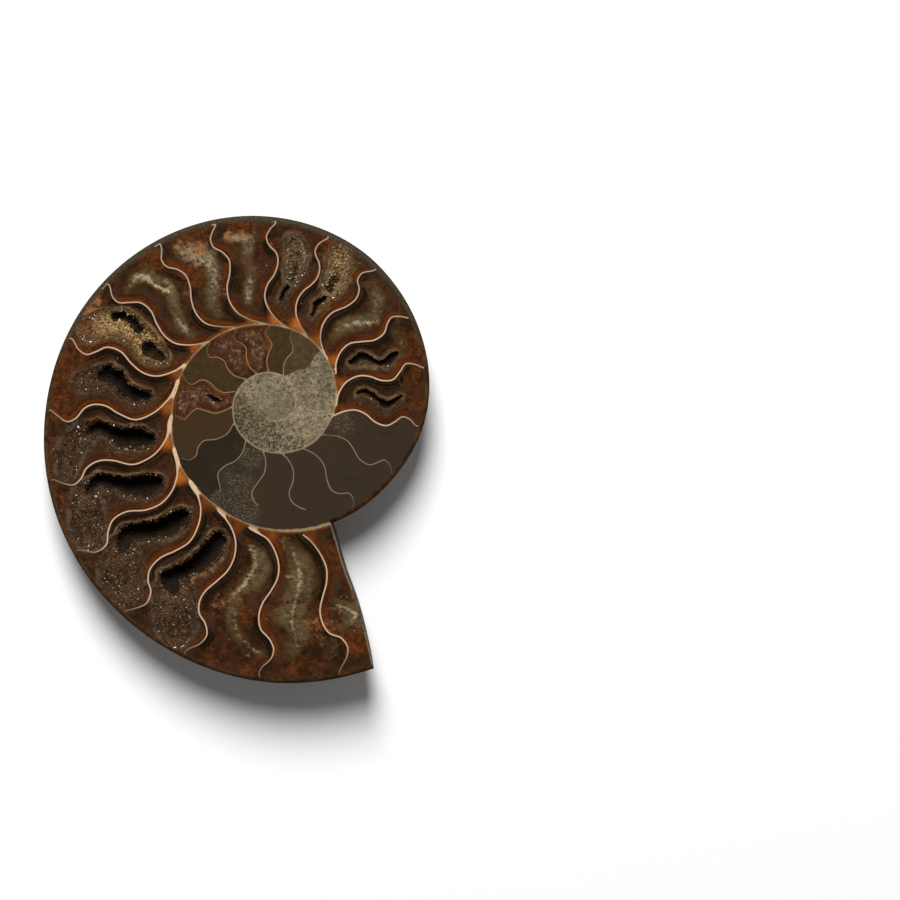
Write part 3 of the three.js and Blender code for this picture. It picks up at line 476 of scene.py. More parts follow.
def section_at(share):
    """Radial sections of the coil, shares of the way round from the inner end of the outer whorl."""
    bend = np.maximum(0, (share - LEAN_START) / (1 - LEAN_START))
    nominal = FIRST_ANGLE + 360 * share
    end_radius, end_lean = BROKEN_EDGE_LEAN[-1]
    edge_radius = smooth_value(OUTER_EDGE, nominal - end_lean * bend)
    seam_radius = NAVEL_RADIUS * TURN_GROWTH ** (share - 1)
    depth = FULL_DEPTH * (edge_radius / end_radius) ** DEPTH_POWER
    return nominal, bend, edge_radius, seam_radius, depth


def coil_point(section, radius, height):
    """Points of radial sections, at a radius and a height in each."""
    nominal, bend = section[:2]
    angle = np.radians(nominal - smooth_value(BROKEN_EDGE_LEAN, radius) * bend)
    return np.stack([radius * np.cos(angle), radius * np.sin(angle), height + 0 * angle], axis=-1)


def fullness(place, seam_share):
    """How full the back is from the seam of the navel (place 0) to the outer edge (place 1)."""
    rise = np.sqrt(np.maximum(0, 1 - (1 - place / CREST_PLACE) ** SHOULDER_POWER))
    inner = seam_share + (1 - seam_share) * rise
    outer = math.sqrt(max(0, 1 - ((place - CREST_PLACE) / (1 - CREST_PLACE)) ** 2))
    return inner if place < CREST_PLACE else outer + 0 * seam_share


def rib_relief(share, place):
    """Low ribs that sweep over the outer half of the flank and fade before the navel and the outer edge."""
    strength = smooth(place, *RIB_START) * (1 - smooth(place, *RIB_END))
    sweep = RIB_SWEEP * math.sin(math.pi * place) ** 2
    return RIB_HEIGHT * strength * np.cos(2 * math.pi * RIB_COUNT * (share + sweep))


NAVEL_PLACES = np.linspace(0, SEAM_PLACE, 11)[1:]
OUTER_PLACES = SEAM_PLACE + (1 - SEAM_PLACE) * np.sin(np.linspace(0, math.pi / 2, 31))[1:-1]
FLANK_PLACES = np.concatenate([NAVEL_PLACES, OUTER_PLACES])
SHIFT = len(NAVEL_PLACES)


def coil_grid():
    """Points of the back, as columns round the coil and lines from the axis out to the face's edge, with the
    share and the place of each as a second grid."""
    share = np.linspace(0, 1, COLUMNS + 1)
    section = section_at(share)
    edge_radius, seam_radius, depth = section[2:]
    inner_depth = depth * TURN_GROWTH**-DEPTH_POWER
    innermost_depth = inner_depth * TURN_GROWTH**-DEPTH_POWER
    inner_seam = seam_radius / TURN_GROWTH
    inner_share = mix(DIMPLE_SHARE, innermost_depth / inner_depth, share)
    lines, marks = [], []

    def line(radius, height, turn, place):
        lines.append(coil_point(section, radius, height))
        marks.append(np.stack([share + turn, 0 * share + place], axis=-1))

    line(inner_seam, -inner_depth * inner_share, -1, 0)
    for place in NAVEL_PLACES:
        radius = mix(inner_seam, seam_radius, place / SEAM_PLACE)
        line(radius, -inner_depth * fullness(place, inner_share), -1, place)
    for place in FLANK_PLACES:
        swell = (depth - RIM_DEPTH) * fullness(place, inner_depth / depth) + rib_relief(share, place)
        line(mix(seam_radius, edge_radius, place), -RIM_DEPTH - swell, 0, place)
    for inward, down in RIM_STEPS:
        line(edge_radius - inward, -down + 0 * share, 0, 1 + BEVEL_MARK * (RIM_DEPTH - down))
    grid = np.stack(lines, axis=1)
    settle = smooth(share, SETTLE_START, 1)[:, None, None]
    grid[:, : SHIFT + 1] = mix(grid[:, : SHIFT + 1], grid[0, SHIFT : 2 * SHIFT + 1][None], settle)
    centre = np.array([0, 0, -innermost_depth[0]])
    return centre, grid, np.stack(marks, axis=1)


# Walls, septa and chambers of the face


def polar(radius, angle):
    """Places at radii and angles in degrees."""
    return np.stack([radius * np.cos(np.radians(angle)), radius * np.sin(np.radians(angle))], axis=-1)


def wall_radius(angle):
    """Radius of the coil's outer wall, at angles that run on below the broken end into the inner whorls."""
    outer = smooth_value(OUTER_EDGE, angle)
    inner = smooth_value(INNER_WALL[::-1], angle)
    return np.where(np.asarray(angle) >= FIRST_ANGLE, outer, inner)


def wall_arc(start, end, turn=0):
    """The coil's wall between two angles, a point to about every degree, on the same turn or another one."""
    angles = np.linspace(start, end, max(3, int(abs(end - start))))
    return polar(wall_radius(angles + turn), angles)


def wall_arcs(end):
    """The coil's wall from the inner end of the outer whorl to another angle, as short arcs."""
    step = math.copysign(ARC, end - FIRST_ANGLE)
    return [wall_arc(start, start + step) for start in np.arange(FIRST_ANGLE, end, step)]


def coil_angle(point, before):
    """Angle of a point, on the turn that follows a known angle a little further out."""
    angle = math.degrees(math.atan2(point[1], point[0]))
    return angle + 360 * round((before - USUAL_SPACING - angle) / 360)


def broken_edge():
    """The upper edge of the broken end."""
    radii = np.linspace(BROKEN_EDGE_START, BROKEN_EDGE_LEAN[-1][0], 40)
    angles = FIRST_ANGLE + 360 - smooth_value(BROKEN_EDGE_LEAN, radii)
    return polar(radii, angles)


class Divider:
    """A septum, carried on to the walls, with the angles at which it meets them."""

    def __init__(self, points, inner_before, outer_before):
        self.path = smooth_path(points, LINE_STEP)
        self.inner = coil_angle(points[0], inner_before)
        self.outer = coil_angle(points[-1], outer_before)
        inner_end = polar(wall_radius(self.inner - 360), self.inner)
        outer_end = polar(wall_radius(self.outer), self.outer)
        self.whole = np.concatenate([[inner_end], self.path, [outer_end]])


def dividers():
    """The broken edge, every septum and the edge of the speckled filling, from the broken end inwards."""
    edge = Divider(broken_edge(), *BROKEN_EDGE_ANGLES)
    edge.inner, edge.outer = BROKEN_EDGE_ANGLES
    edge.whole = edge.path
    found = [edge]
    for points in SEPTA + [GRAIN_EDGE]:
        found.append(Divider(points, found[-1].inner, found[-1].outer))
    return found


DIVIDERS = dividers()


def within(points, low, high):
    """Which points are in a box."""
    return np.all((points >= low) & (points <= high), axis=1)


def inside_outline(outline, points):
    """Which points are inside a closed outline."""
    near = within(points, outline.min(0), outline.max(0))
    x, y = points[near].T
    inside = np.zeros(len(x), bool)
    for (ax, ay), (bx, by) in zip(outline, np.roll(outline, -1, axis=0)):
        if ay != by:
            crosses = (ay > y) != (by > y)
            inside ^= crosses & (x < (bx - ax) * (y - ay) / (by - ay) + ax)
    found = np.zeros(len(points), bool)
    found[near] = inside
    return found


def stretches(spine, points):
    """For each straight stretch of a spine, the points' distances from it and its other values there."""
    x, y = points.T
    for (ax, ay, *a), (bx, by, *b) in zip(spine, spine[1:]):
        length = max((bx - ax) ** 2 + (by - ay) ** 2, 1e-12)
        t = np.clip(((x - ax) * (bx - ax) + (y - ay) * (by - ay)) / length, 0, 1)
        away = np.hypot(x - mix(ax, bx, t), y - mix(ay, by, t))
        yield away, *(mix(start, end, t) for start, end in zip(a, b))


def distance_to(path, points):
    """Distance from each point to a path of straight pieces."""
    nearest = np.full(len(points), NO_LIMIT)
    for away, *_ in stretches(path, points):
        nearest = np.minimum(nearest, away)
    return nearest


def near_points(paths, points, reach):
    """Distance to the nearest of many paths, exact within the reach and at least the reach beyond it."""
    found = np.full(len(points), float(reach))
    for path in paths:
        near = within(points, path.min(0) - reach, path.max(0) + reach)
        found[near] = np.minimum(found[near], distance_to(path, points[near]))
    return found


def lit_share(path, points):
    """1 on the side of a septum that the light from above reaches, and 0 on its dark side."""
    reach = 0.1
    low = smooth(points[:, 0], -8, 2) * smooth(-points[:, 1], 25, 35)
    side = reach * mix(LIT_SIDE, LOW_LIT_SIDE, low[:, None])
    ahead, behind = distance_to(path, points + side), distance_to(path, points - side)
    return smooth((ahead - behind) / (2 * reach), -0.45, 0.45)


def bowl_fields(spine, points, inset=0.0):
    """Height of a chamber's floor at each point, made tighter all round by an inset, and the distance from
    the chamber's edge, positive outside."""
    lowest, edge = np.full(len(points), BOWL_CAP), np.full(len(points), NO_LIMIT)
    for away, width, depth in stretches(spine, points):
        width, depth = np.maximum(width - inset, LEAST_WIDTH), np.maximum(depth - inset, LEAST_WIDTH)
        lowest = np.minimum(lowest, depth * ((away / width) ** BOWL_POWER - 1))
        edge = np.minimum(edge, away - width)
    return lowest, edge


def spine_box(spine, margin):
    """Low and high corner of the box round a chamber, with a margin beyond its edge."""
    corners = np.array([point[:2] for point in spine])
    reach = max(width for _, _, width, _ in spine) + margin
    return corners.min(0) - reach, corners.max(0) + reach


def ragged(points):
    """Places moved a little to and fro, so that the chambers' edges are uneven."""
    moves = [noise_sum(points, (1, 0.55, seed), (0.6, 1.5, seed + 1)) - 0.8 for seed in (71, 73)]
    return points + RAGGEDNESS * np.column_stack(moves)


def slot_share(spine, points, edge):
    """1 along the deep part of a hollow and 0 on its shallow shelf, from the distance to its whole edge."""
    deep = [point for point in spine if point[3] > SLOT_DEPTH or len(spine) <= SLIT_POINTS]
    return 1 - smooth(bowl_fields(deep, points)[1] - edge, 0.2, 1.6)


def hollow_fields(points):
    """Distance from the nearest hollow's edge, height of its floor, and how far it is a deep slot there."""
    points = ragged(points)
    height, slot = np.zeros(len(points)), np.zeros(len(points))
    edge = np.full(len(points), FAR)
    for spine in list(CHAMBERS.values()) + SLITS:
        depth_share = CRYSTAL_SLIT_SHARE if spine in SLITS[:CRYSTAL_SLITS] else 1
        near = within(points, *spine_box(spine, 3))
        bowl, away = bowl_fields(spine, points[near])
        height[near] = np.minimum(height[near], bowl)
        share = slot_share(spine, points[near], away) * depth_share
        slot[near] = mix(slot[near], share, away <= edge[near])
        edge[near] = np.minimum(edge[near], away)
    return edge, height, slot


def scatter(step, low, high, seed):
    """Places in rows a step apart, each moved a little at random."""
    stream = np.random.default_rng(seed)
    rows = int((high[1] - low[1]) / (step * ROW_SPACING)) + 1
    columns = int((high[0] - low[0]) / step) + 1
    y, x = np.mgrid[0:rows, 0:columns].astype(float)
    x += 0.5 * (y % 2)
    x += stream.uniform(-JITTER, JITTER, x.shape)
    y += stream.uniform(-JITTER, JITTER, y.shape)
    return np.stack([low[0] + x.ravel() * step, low[1] + y.ravel() * step * ROW_SPACING], axis=1)


def delaunay(points, edges=(), within_edges=False):
    """Triangles between points, turned up, with some edges kept, and twice the area of each."""
    every = [Vector(point) for point in points]
    found, _, triangles, *_ = delaunay_2d_cdt(every, list(edges), [], int(within_edges), 1e-5, False)
    corners, triangles = np.array([tuple(point) for point in found]), np.array(triangles)
    a, b, c = (corners[triangles[:, k]] for k in range(3))
    turn = (b - a)[:, 0] * (c - a)[:, 1] - (b - a)[:, 1] * (c - a)[:, 0]
    return corners, np.where(turn[:, None] < 0, triangles[:, ::-1], triangles), np.abs(turn)


def triangulate(outline, inner_paths, loose):
    """Triangles that fill an outline, with edges along the inner paths and corners at the loose places."""
    edges = [(k, (k + 1) % len(outline)) for k in range(len(outline))]
    count = len(outline)
    for path in inner_paths:
        edges += [(count + k, count + k + 1) for k in range(len(path) - 1)]
        count += len(path)
    corners, triangles, area = delaunay(np.concatenate([outline, *inner_paths, loose]), edges, True)
    middles = corners[triangles].mean(axis=1)
    return corners, triangles[(area > 1e-9) & inside_outline(outline, middles)]


# Mesh assembly

mount = next(m for m in frame["record"]["mounts"] if m["name"] == "polished_face")
FACE_NORMAL = Vector(mount["axis"]).normalized()
FACE_TURN = Vector((0, 0, 1)).rotation_difference(FACE_NORMAL).to_matrix()
FACE_ORIGIN = Vector(mount["pos_m"])
MILLIMETRE = 0.001


def to_row(points):
    """Points of the face frame, in millimetres, carried to the row frame, in metres."""
    return np.asarray(points) @ np.array(FACE_TURN).T * MILLIMETRE + np.array(FACE_ORIGIN)


def placed(name, data):
    """One new object of the scene."""
    piece = bpy.data.objects.new(name, data)
    bpy.context.scene.collection.objects.link(piece)
    return piece


def mesh_piece(name, vertices, triangles, slots, corner_fields=(), point_fields=(), groups=None, shade=None):
    """One object from triangles in the face frame, with its materials, fields and smooth or flat faces."""
    mesh = bpy.data.meshes.new(name)
    mesh.vertices.add(len(vertices))
    mesh.vertices.foreach_set("co", to_row(vertices).astype(np.float32).ravel())
    mesh.loops.add(3 * len(triangles))
    mesh.loops.foreach_set("vertex_index", triangles.astype(np.int32).ravel())
    mesh.polygons.add(len(triangles))
    mesh.polygons.foreach_set("loop_start", np.arange(0, 3 * len(triangles), 3, dtype=np.int32))
    for material in slots:
        mesh.materials.append(material)
    if groups is not None:
        mesh.polygons.foreach_set("material_index", groups.astype(np.int32))
    mesh.update(calc_edges=True)
    mesh.polygons.foreach_set("use_smooth", np.zeros(len(triangles), bool) if shade is None else shade)
    layers = [(*field, "CORNER") for field in corner_fields] + [(*field, "POINT") for field in point_fields]
    for label, values, domain in layers:
        layer = mesh.attributes.new(label, "FLOAT_VECTOR", domain)
        layer.data.foreach_set("vector", values.astype(np.float32).ravel())
    return placed(name, mesh)


def joined(sheets):
    """Separate sheets as one: where each one's points start, all points and all triangles."""
    starts = np.cumsum([0] + [len(points) for points, _ in sheets])
    points = np.concatenate([points for points, _ in sheets])
    return starts, points, np.concatenate([start + some for start, (_, some) in zip(starts, sheets)])


def sides_of(triangles):
    """The three sides of each triangle, in its own direction."""
    return np.concatenate([triangles[:, pair] for pair in ([0, 1], [1, 2], [2, 0])])


def spots(patches, points):
    """The strength of soft round patches, 1 unless given, falling to 0 at 1.5 radii."""
    found = np.zeros(len(points))
    for x, y, radius, *strength in patches:
        away = np.hypot(points[:, 0] - x, points[:, 1] - y) / radius
        found = np.maximum(found, sum(strength or [1]) * (1 - smooth(away, 0.35, 1.5)))
    return found


def strokes(paths, points, core):
    """Strength of strokes that widen and narrow, full within a share of their width and fading outwards."""
    found = np.zeros(len(points))
    for path in paths:
        for away, width, strength in stretches(path, points):
            found = np.maximum(found, strength * (1 - smooth(away / width, core, 1.8)))
    return found


def join_lines(a, b, width):
    """The nearer of two distances, drawn together into a web where both are small."""
    close = np.maximum(width - np.abs(a - b), 0) / np.maximum(width, 1e-6)
    return np.minimum(a, b) - close * close * width / 4


def chamber_fields(corners, triangles):
    """Fields that jump from chamber to chamber: distances to its walls, filling, and lit and dark bands."""
    shape = (len(triangles), 3, 3)
    gaps, bands = np.full(shape, FAR), np.full(shape, FAR)
    edges, fills, kinds = np.zeros(shape), np.zeros(shape), np.zeros(shape)
    edges[:, :, 0] = FAR
    fills[:, :, 2] = 1
    middles = corners[triangles].mean(axis=1)
    for k, (newer, older, filling) in enumerate(zip(DIVIDERS, DIVIDERS[1:], FILLINGS)):
        outer_wall = wall_arc(newer.outer, older.outer)
        inner_wall = wall_arc(older.inner, newer.inner, turn=-360)
        outline = np.concatenate([newer.whole, outer_wall, older.whole[::-1], inner_wall])
        mine = inside_outline(outline, middles)
        used, back = np.unique(triangles[mine], return_inverse=True)
        points, back = corners[used], back.reshape(-1, 3)
        sides = [distance_to(path, points)[back] for path in (older.whole, newer.whole, inner_wall)]
        gaps[mine] = np.stack(sides, axis=-1)
        away = np.stack([sides[0], sides[1] + FAR * (k == 0)])
        lit = np.stack([lit_share(septum.whole, points)[back] for septum in (older, newer)])
        bands[mine, :, 0] = (away + BAND_WIDTH * lit).min(axis=0)
        bands[mine, :, 1] = (away + BAND_WIDTH * (1 - lit)).min(axis=0)
        edges[mine, :, 0] = distance_to(outer_wall, points)[back]
        edges[mine, :, 1] = k == 0
        fills[mine] = [filling == MUD, filling == OLIVE, 0]
        kinds[mine] = [filling == GEODE, filling == CHERT, MUD_TONES.get(k, 0.5)]
    return gaps, edges, fills, kinds, bands


def line_light(corners, outer, wall_away, low_wall, wall_share, dull):
    """How pale the lines are: dimmer low in the coil and beside its wall, and brightest at the left."""
    x, y = corners.T
    outward = near_points(wall_arcs(OUTER_EDGE[-1][0]), corners, 12)
    light = mix(mix(0.42, 0.9, smooth(y, -35, 38)), 1, smooth(outward, 1, 10))
    light *= mix(1, 0.6, smooth(y, 12, 20) * smooth(wall_away, 5, 0.5))
    light *= mix(1, 0.88, smooth(y, 12, 35))
    light *= 1 + 0.12 * smooth(-x, 14, 22) * smooth(wall_away, 4, 0.5)
    at_left = smooth(-x, 8, 20) * smooth(y, 16, 8)
    wall_light = mix(mix(0.42, 0.53, low_wall), mix(0.65, 1.06, at_left), smooth(outer, 1.3, 0.35))
    light = mix(light, wall_light, wall_share)
    return mix(light, mix(0.5, 1, smooth(np.minimum(wall_away, outward), 0.5, 6)), dull)


def line_fields(corners):
    """Distance to the nearest line, scaled to one half-width, with its dullness and light, and then how far
    it is the coil's own wall and not a septum."""
    x, y = corners.T
    arcs = wall_arcs(INNERMOST_ANGLE)
    groups = [
        [septum.path for septum in DIVIDERS[1 : OUTER_SEPTA + 1]],
        [septum.path for septum in DIVIDERS[OUTER_SEPTA + 1 : -1]], arcs[:MAIN_ARCS], arcs[MAIN_ARCS:],
    ]
    outer, inner, wall_away, inner_wall = (near_points(paths, corners, LINE_REACH) for paths in groups)
    low_wall = smooth(x, -4, 6) * smooth(-y, 22, 29)
    main_wall = wall_away * LINE_HALF / mix(WALL_HALF, LOW_WALL_HALF, low_wall)
    web = WEB + LEFT_WEB * smooth(-x, 2, 18) * smooth(y, 20, 6) + WIDEST_WEB * spots(WEBS, corners)
    main = join_lines(outer, main_wall, web)
    small = np.minimum(inner * LINE_HALF / INNER_LINE_HALF, inner_wall * LINE_HALF / INNER_WALL_HALF)
    dull = (small < main).astype(float) * (np.hypot(x, y) < DULL_RADIUS)
    wall_share = smooth(outer - main_wall, -0.5, 0.4)
    light = line_light(corners, outer, wall_away, low_wall, wall_share, dull)
    return np.stack([np.minimum(main, small), dull, light], axis=-1), wall_share * (1 - dull)


def face_fields(corners, triangles):
    """Fields for the colours of the face, at its triangles' corners and at its points, and its height."""
    gaps, edges, fills, kinds, bands = chamber_fields(corners, triangles)
    lines, wall = line_fields(corners)
    rim, height, slot = hollow_fields(corners)
    edges[:, :, 2] = wall[triangles]
    bands[:, :, 2] = spots(PEACH, corners)[triangles]
    cloud = strokes(PALE_STROKES, corners, 0.3) * (1 - spots(BLOTCHES, corners))
    tints = np.stack([cloud, spots(AMBER, corners), spots(EMBER, corners)], axis=-1)
    more = np.stack([spots(SPECKLE, corners), strokes(VEINS, corners, 0.2), np.hypot(*corners.T)], axis=-1)
    hollow = np.stack([rim, height, slot], axis=-1)
    corner_fields = [("gaps", gaps), ("edges", edges), ("fills", fills), ("kinds", kinds), ("bands", bands)]
    return corner_fields, [("lines", lines), ("tints", tints), ("more", more), ("hollow", hollow)], height


def closed(outline):
    """An outline with its first point repeated at its end."""
    return np.concatenate([outline, outline[:1]])


def face_mesh(outline):
    """The polished face, with small triangles in its hollows and edges along its lines."""
    low, high = outline.min(0) - 1, outline.max(0) + 1
    coarse, fine = scatter(FACE_STEP, low, high, SEED + 2), scatter(HOLLOW_STEP, low, high, SEED + 3)
    beyond, beside = hollow_fields(coarse)[0] > FINE_REACH, hollow_fields(fine)[0] <= FINE_REACH
    loose = np.concatenate([coarse[beyond], fine[beside]])
    paths = [divider.path for divider in DIVIDERS[1:]]
    paths += [smooth_path(path, LINE_STEP * 1.3) for path in wall_arcs(INNERMOST_ANGLE)]
    paths = [path[inside_outline(outline, path)] for path in paths]
    loose = loose[near_points(paths, loose, FINE_REACH) > LINE_CLEARANCE]
    loose = loose[inside_outline(outline, loose)]
    loose = loose[near_points([closed(outline)], loose, FINE_REACH) > EDGE_CLEARANCE]
    return triangulate(outline, paths, loose)


def flat_section(points):
    """Points of a radial section as radius and height."""
    return np.column_stack([np.hypot(points[:, 0], points[:, 1]), points[:, 2]])


def back_sheet(centre, grid):
    """The back, with its navel and the bevel, between one column of the coil and the next."""
    columns, lines = grid.shape[:2]
    number = np.arange(columns * lines).reshape(columns, lines) + 1
    number[-1, : SHIFT + 1] = number[0, SHIFT : 2 * SHIFT + 1]
    here, following = number[:-1], number[1:]
    a, b, c, d = here[:, :-1], following[:, :-1], following[:, 1:], here[:, 1:]
    hub = np.stack([np.zeros(columns - 1, int), following[:, 0], here[:, 0]], -1)
    halves = [np.stack(corners, -1).reshape(-1, 3) for corners in ((a, b, c), (a, c, d))]
    return np.concatenate([[centre], grid.reshape(-1, 3)]), np.concatenate([hub, *halves])


def step_sheet(centre, grid):
    """The small radial step in the navel, where the first column meets the turn before it."""
    outline = np.concatenate([[[0, centre[2]]], flat_section(grid[0, : SHIFT + 1])])
    corners, triangles = triangulate(outline, [], np.zeros((0, 2)))
    return np.column_stack([polar(corners[:, 0], FIRST_ANGLE), corners[:, 1]]), triangles


def broken_sheet(grid, radii):
    """The broken end, rough inside its border."""
    outline = np.concatenate([
        flat_section(grid[0, 2 * SHIFT :]), np.column_stack([radii[::-1], 0 * radii]),
        flat_section(grid[-1, SHIFT + 1 :])[::-1],
    ])
    loose = scatter(BROKEN_STEP, outline.min(0), outline.max(0), SEED + 4)
    loose = loose[inside_outline(outline, loose)]
    loose = loose[distance_to(closed(outline), loose) > BROKEN_STEP / 2]
    corners, triangles = triangulate(outline, [], loose)
    rough = noise_sum(corners, (1, 0.6, 5), (0.5, 1.7, 6)) - 0.75
    inward = smooth(distance_to(closed(outline), corners), 0, 1.5) * (0.35 - rough * 0.9)
    across = np.array([*polar(1, BROKEN_NORMAL), 0])
    return coil_point(section_at(np.ones(1)), *corners.T) - across * inward[:, None], triangles[:, ::-1]


def weld_borders(points, triangles, reach=0.01):
    """Joins separate sheets into one closed skin where the corners of their open borders meet."""
    pairs, uses = np.unique(np.sort(sides_of(triangles), axis=1), axis=0, return_counts=True)
    border = np.unique(pairs[uses == 1])
    tree = kdtree.KDTree(len(border))
    for k in border:
        tree.insert(points[k], int(k))
    tree.balance()
    target = np.arange(len(points))
    for k in border:
        target[k] = min(index for _, index, _ in tree.find_range(points[k], reach))
    used, triangles = np.unique(target[triangles], return_inverse=True)
    return used, triangles.reshape(-1, 3)


POLISH, SHELL, BROKEN = range(3)


def stone_piece(materials):
    """The whole stone as one closed mesh: polished face with its hollows, bevel and back, and broken end."""
    centre, grid, marks = coil_grid()
    edge = grid[:, -1, :2]
    radii = np.linspace(np.hypot(*edge[-1]), np.hypot(*edge[0]), BROKEN_POINTS)[1:-1]
    broken = coil_point(section_at(np.ones(1)), radii, 0 * radii)
    corners, face_triangles = face_mesh(np.concatenate([edge, broken[:, :2]]))
    corner_fields, point_fields, height = face_fields(corners, face_triangles)
    face = np.column_stack([corners, height])
    sheets = [
        (face, face_triangles), back_sheet(centre, grid), step_sheet(centre, grid), broken_sheet(grid, radii),
    ]
    starts, points, triangles = joined(sheets)
    groups = np.repeat([POLISH, SHELL, SHELL, BROKEN], [len(some) for _, some in sheets])
    used, triangles = weld_borders(points, triangles)
    whole = np.all(triangles != np.roll(triangles, 1, axis=1), axis=1)
    triangles, groups = triangles[whole], groups[whole]
    coil = np.zeros((len(points), 3))
    coil[: len(face), 1] = 1
    coil[: len(face), 2] = spots(GOLD, corners)
    coil[starts[1] + 1 : starts[2], :2] = marks.reshape(-1, 2)

    def padded(values, count):
        return np.concatenate([values.reshape(-1, 3), np.zeros((count - values.size // 3, 3))])

    corner_fields = [(label, padded(values, 3 * len(triangles))) for label, values in corner_fields]
    point_fields = [(label, padded(values, len(points))[used]) for label, values in point_fields]
    point_fields += [("coil", coil[used]), ("place", points[used])]
    return mesh_piece(
        "polished_stone", points[used], triangles, materials, corner_fields, point_fields, groups,
        groups == SHELL,
    )


# Crystals


def crust_floor(spine, points, seed):
    """Height of the lumpy crust that the crystals of one chamber grow on."""
    lumps = noise_sum(points, (0.6, 0.55, seed), (0.4, 1.3, seed + 1))
    moved = ragged(points)
    floor, edge = bowl_fields(spine, moved, 0.1)
    slot = slot_share(spine, moved, edge)
    steep = smooth(-floor, mix(1.9, 0.5, slot), mix(3.4, 2.2, slot) + 0.9 * lumps)
    if spine is CHAMBERS["crystal_crust_6"]:
        steep = steep * spots(GOLDEN_PITS, points)
    shelf = -0.1 - smooth(-floor, 0.1, 1.6) * (0.15 + 0.75 * lumps)
    return mix(np.maximum(shelf, 0.9 * floor), 0.93 * floor, steep)


def crust_skin(spine, seed):
    """Closed slab of crust: its top, its underside and the edge between them."""
    places = scatter(CRUST_STEP, *spine_box(spine, 1), seed)
    lower, _ = bowl_fields(spine, ragged(places), CRUST_INSET)
    places, triangles, _ = delaunay(places[lower < -CRUST_START])
    sides = places[triangles] - places[np.roll(triangles, 1, axis=1)]
    triangles = triangles[np.hypot(*sides.T).max(axis=0) < 2.2 * CRUST_STEP]
    top = crust_floor(spine, places, seed)
    lower, _ = bowl_fields(spine, ragged(places), CRUST_INSET)
    lower = np.minimum(lower, top - 0.1)
    count = len(places)
    known = {tuple(pair) for pair in sides_of(triangles).tolist()}
    border = np.array([pair for pair in known if pair[::-1] not in known])
    p, q = border[np.lexsort(border.T)].T
    edge = np.concatenate([np.stack([p, count + p, q], -1), np.stack([q, count + p, count + q], -1)])
    points = np.concatenate([np.column_stack([places, top]), np.column_stack([places, lower])])
    return points, np.concatenate([triangles, count + triangles[:, ::-1], edge])


def crystal_template(sides, shoulder):
    """One crystal of height 1 and half-width 1: a prism from a buried foot, with a pointed tip."""
    angles = np.arange(sides) * 2 * math.pi / sides
    ring = np.column_stack([np.cos(angles), np.sin(angles)])
    foot = np.column_stack([0.8 * ring, np.full(sides, -0.6)])
    top = np.column_stack([ring * 0.9, np.full(sides, shoulder)])
    points = np.concatenate([foot, top, [[0.12, 0.07, 1]]])
    triangles = []
    for k in range(sides):
        after = (k + 1) % sides
        triangles += [(k, after, sides + after), (k, sides + after, sides + k)]
        triangles.append((sides + k, sides + after, 2 * sides))
        if 0 < k < sides - 1:
            triangles.append((0, k + 1, k))
    return points, np.array(triangles)


# Crystals on a crust: shape, spacing, share of the places that have one, half-width and height
CRYSTALS = (
    (crystal_template(4, 0.25), 0.34, 1, 0.2, 0.26),
    (crystal_template(6, 0.35), 0.9, 0.3, 0.28, 0.6),
)


def unit(vectors):
    """Vectors made one long."""
    return vectors / np.linalg.norm(vectors, axis=1, keepdims=True)


def grown(template, feet, directions, widths, heights, stream):
    """Copies of one crystal, each on its own foot, direction, width and height."""
    points, triangles = template
    count = len(feet)
    helper = np.where(np.abs(directions[:, :1]) < 0.8, [[1.0, 0, 0]], [[0, 1.0, 0]])
    across = unit(np.cross(directions, helper))
    along = np.cross(directions, across)
    turn = stream.uniform(0, 2 * math.pi, count)[:, None]
    first = across * np.cos(turn) + along * np.sin(turn)
    second = (along * np.cos(turn) - across * np.sin(turn)) * stream.uniform(0.7, 1.2, count)[:, None]
    spread = points[None, :, 0, None] * first[:, None] + points[None, :, 1, None] * second[:, None]
    upward = points[None, :, 2, None] * directions[:, None]
    places = feet[:, None] + spread * widths[:, None, None] + upward * heights[:, None, None]
    numbers = triangles[None] + (np.arange(count) * len(points))[:, None, None]
    return places.reshape(-1, 3), numbers.reshape(-1, 3)


def crystals_on(spine, seed):
    """Small grains all over a chamber's crust, with larger pointed crystals among them."""
    stream = np.random.default_rng(seed + 50)
    made = []
    for template, step, chance, width, height in CRYSTALS:
        places = scatter(step, *spine_box(spine, 1), seed + 60)
        lower, _ = bowl_fields(spine, ragged(places), 0.08)
        places = places[(lower < -0.2) & (stream.uniform(0, 1, len(places)) < chance)]
        floor = crust_floor(spine, places, seed)
        beside = [crust_floor(spine, places + aside, seed) for aside in np.eye(2) * SLOPE_STEP]
        slopes = [(height_there - floor) / SLOPE_STEP for height_there in beside]
        directions = unit(np.column_stack([-slopes[0], -slopes[1], np.ones(len(places))]))
        directions += stream.normal(0, 0.30, directions.shape)
        directions[:, 2] = np.maximum(directions[:, 2], 0.15)
        size = np.exp(stream.normal(0, 0.28, len(places)))
        feet = np.column_stack([places, floor])
        made.append(grown(template, feet, unit(directions), width * size, height * size, stream))
    return made


def crust_piece(name, spine, seed, warmth, material):
    """The crust of one chamber and the crystals on it, as one piece."""
    starts, points, triangles = joined([crust_skin(spine, seed)] + crystals_on(spine, seed))
    points[:, 2] = np.minimum(points[:, 2], -0.04)
    stream = np.random.default_rng(seed + 90)
    tone = stream.uniform(0, 1, len(points))
    for start, end, (template, *_) in zip(starts[1:], starts[2:], CRYSTALS):
        size = len(template[0])
        tone[start:end] = np.repeat(stream.uniform(0, 1, (end - start) // size), size)
    tone[: starts[1]] = 0.3
    _, edge = bowl_fields(spine, ragged(points[:, :2]))
    look = np.column_stack([tone, np.full(len(points), warmth), edge])
    fields = [("look", look), ("place", points)]
    piece = mesh_piece(name.replace("crystal_crust", "druse"), points, triangles, [material], (), fields)
    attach(piece, "root")
    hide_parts(name)
    return piece


# Materials


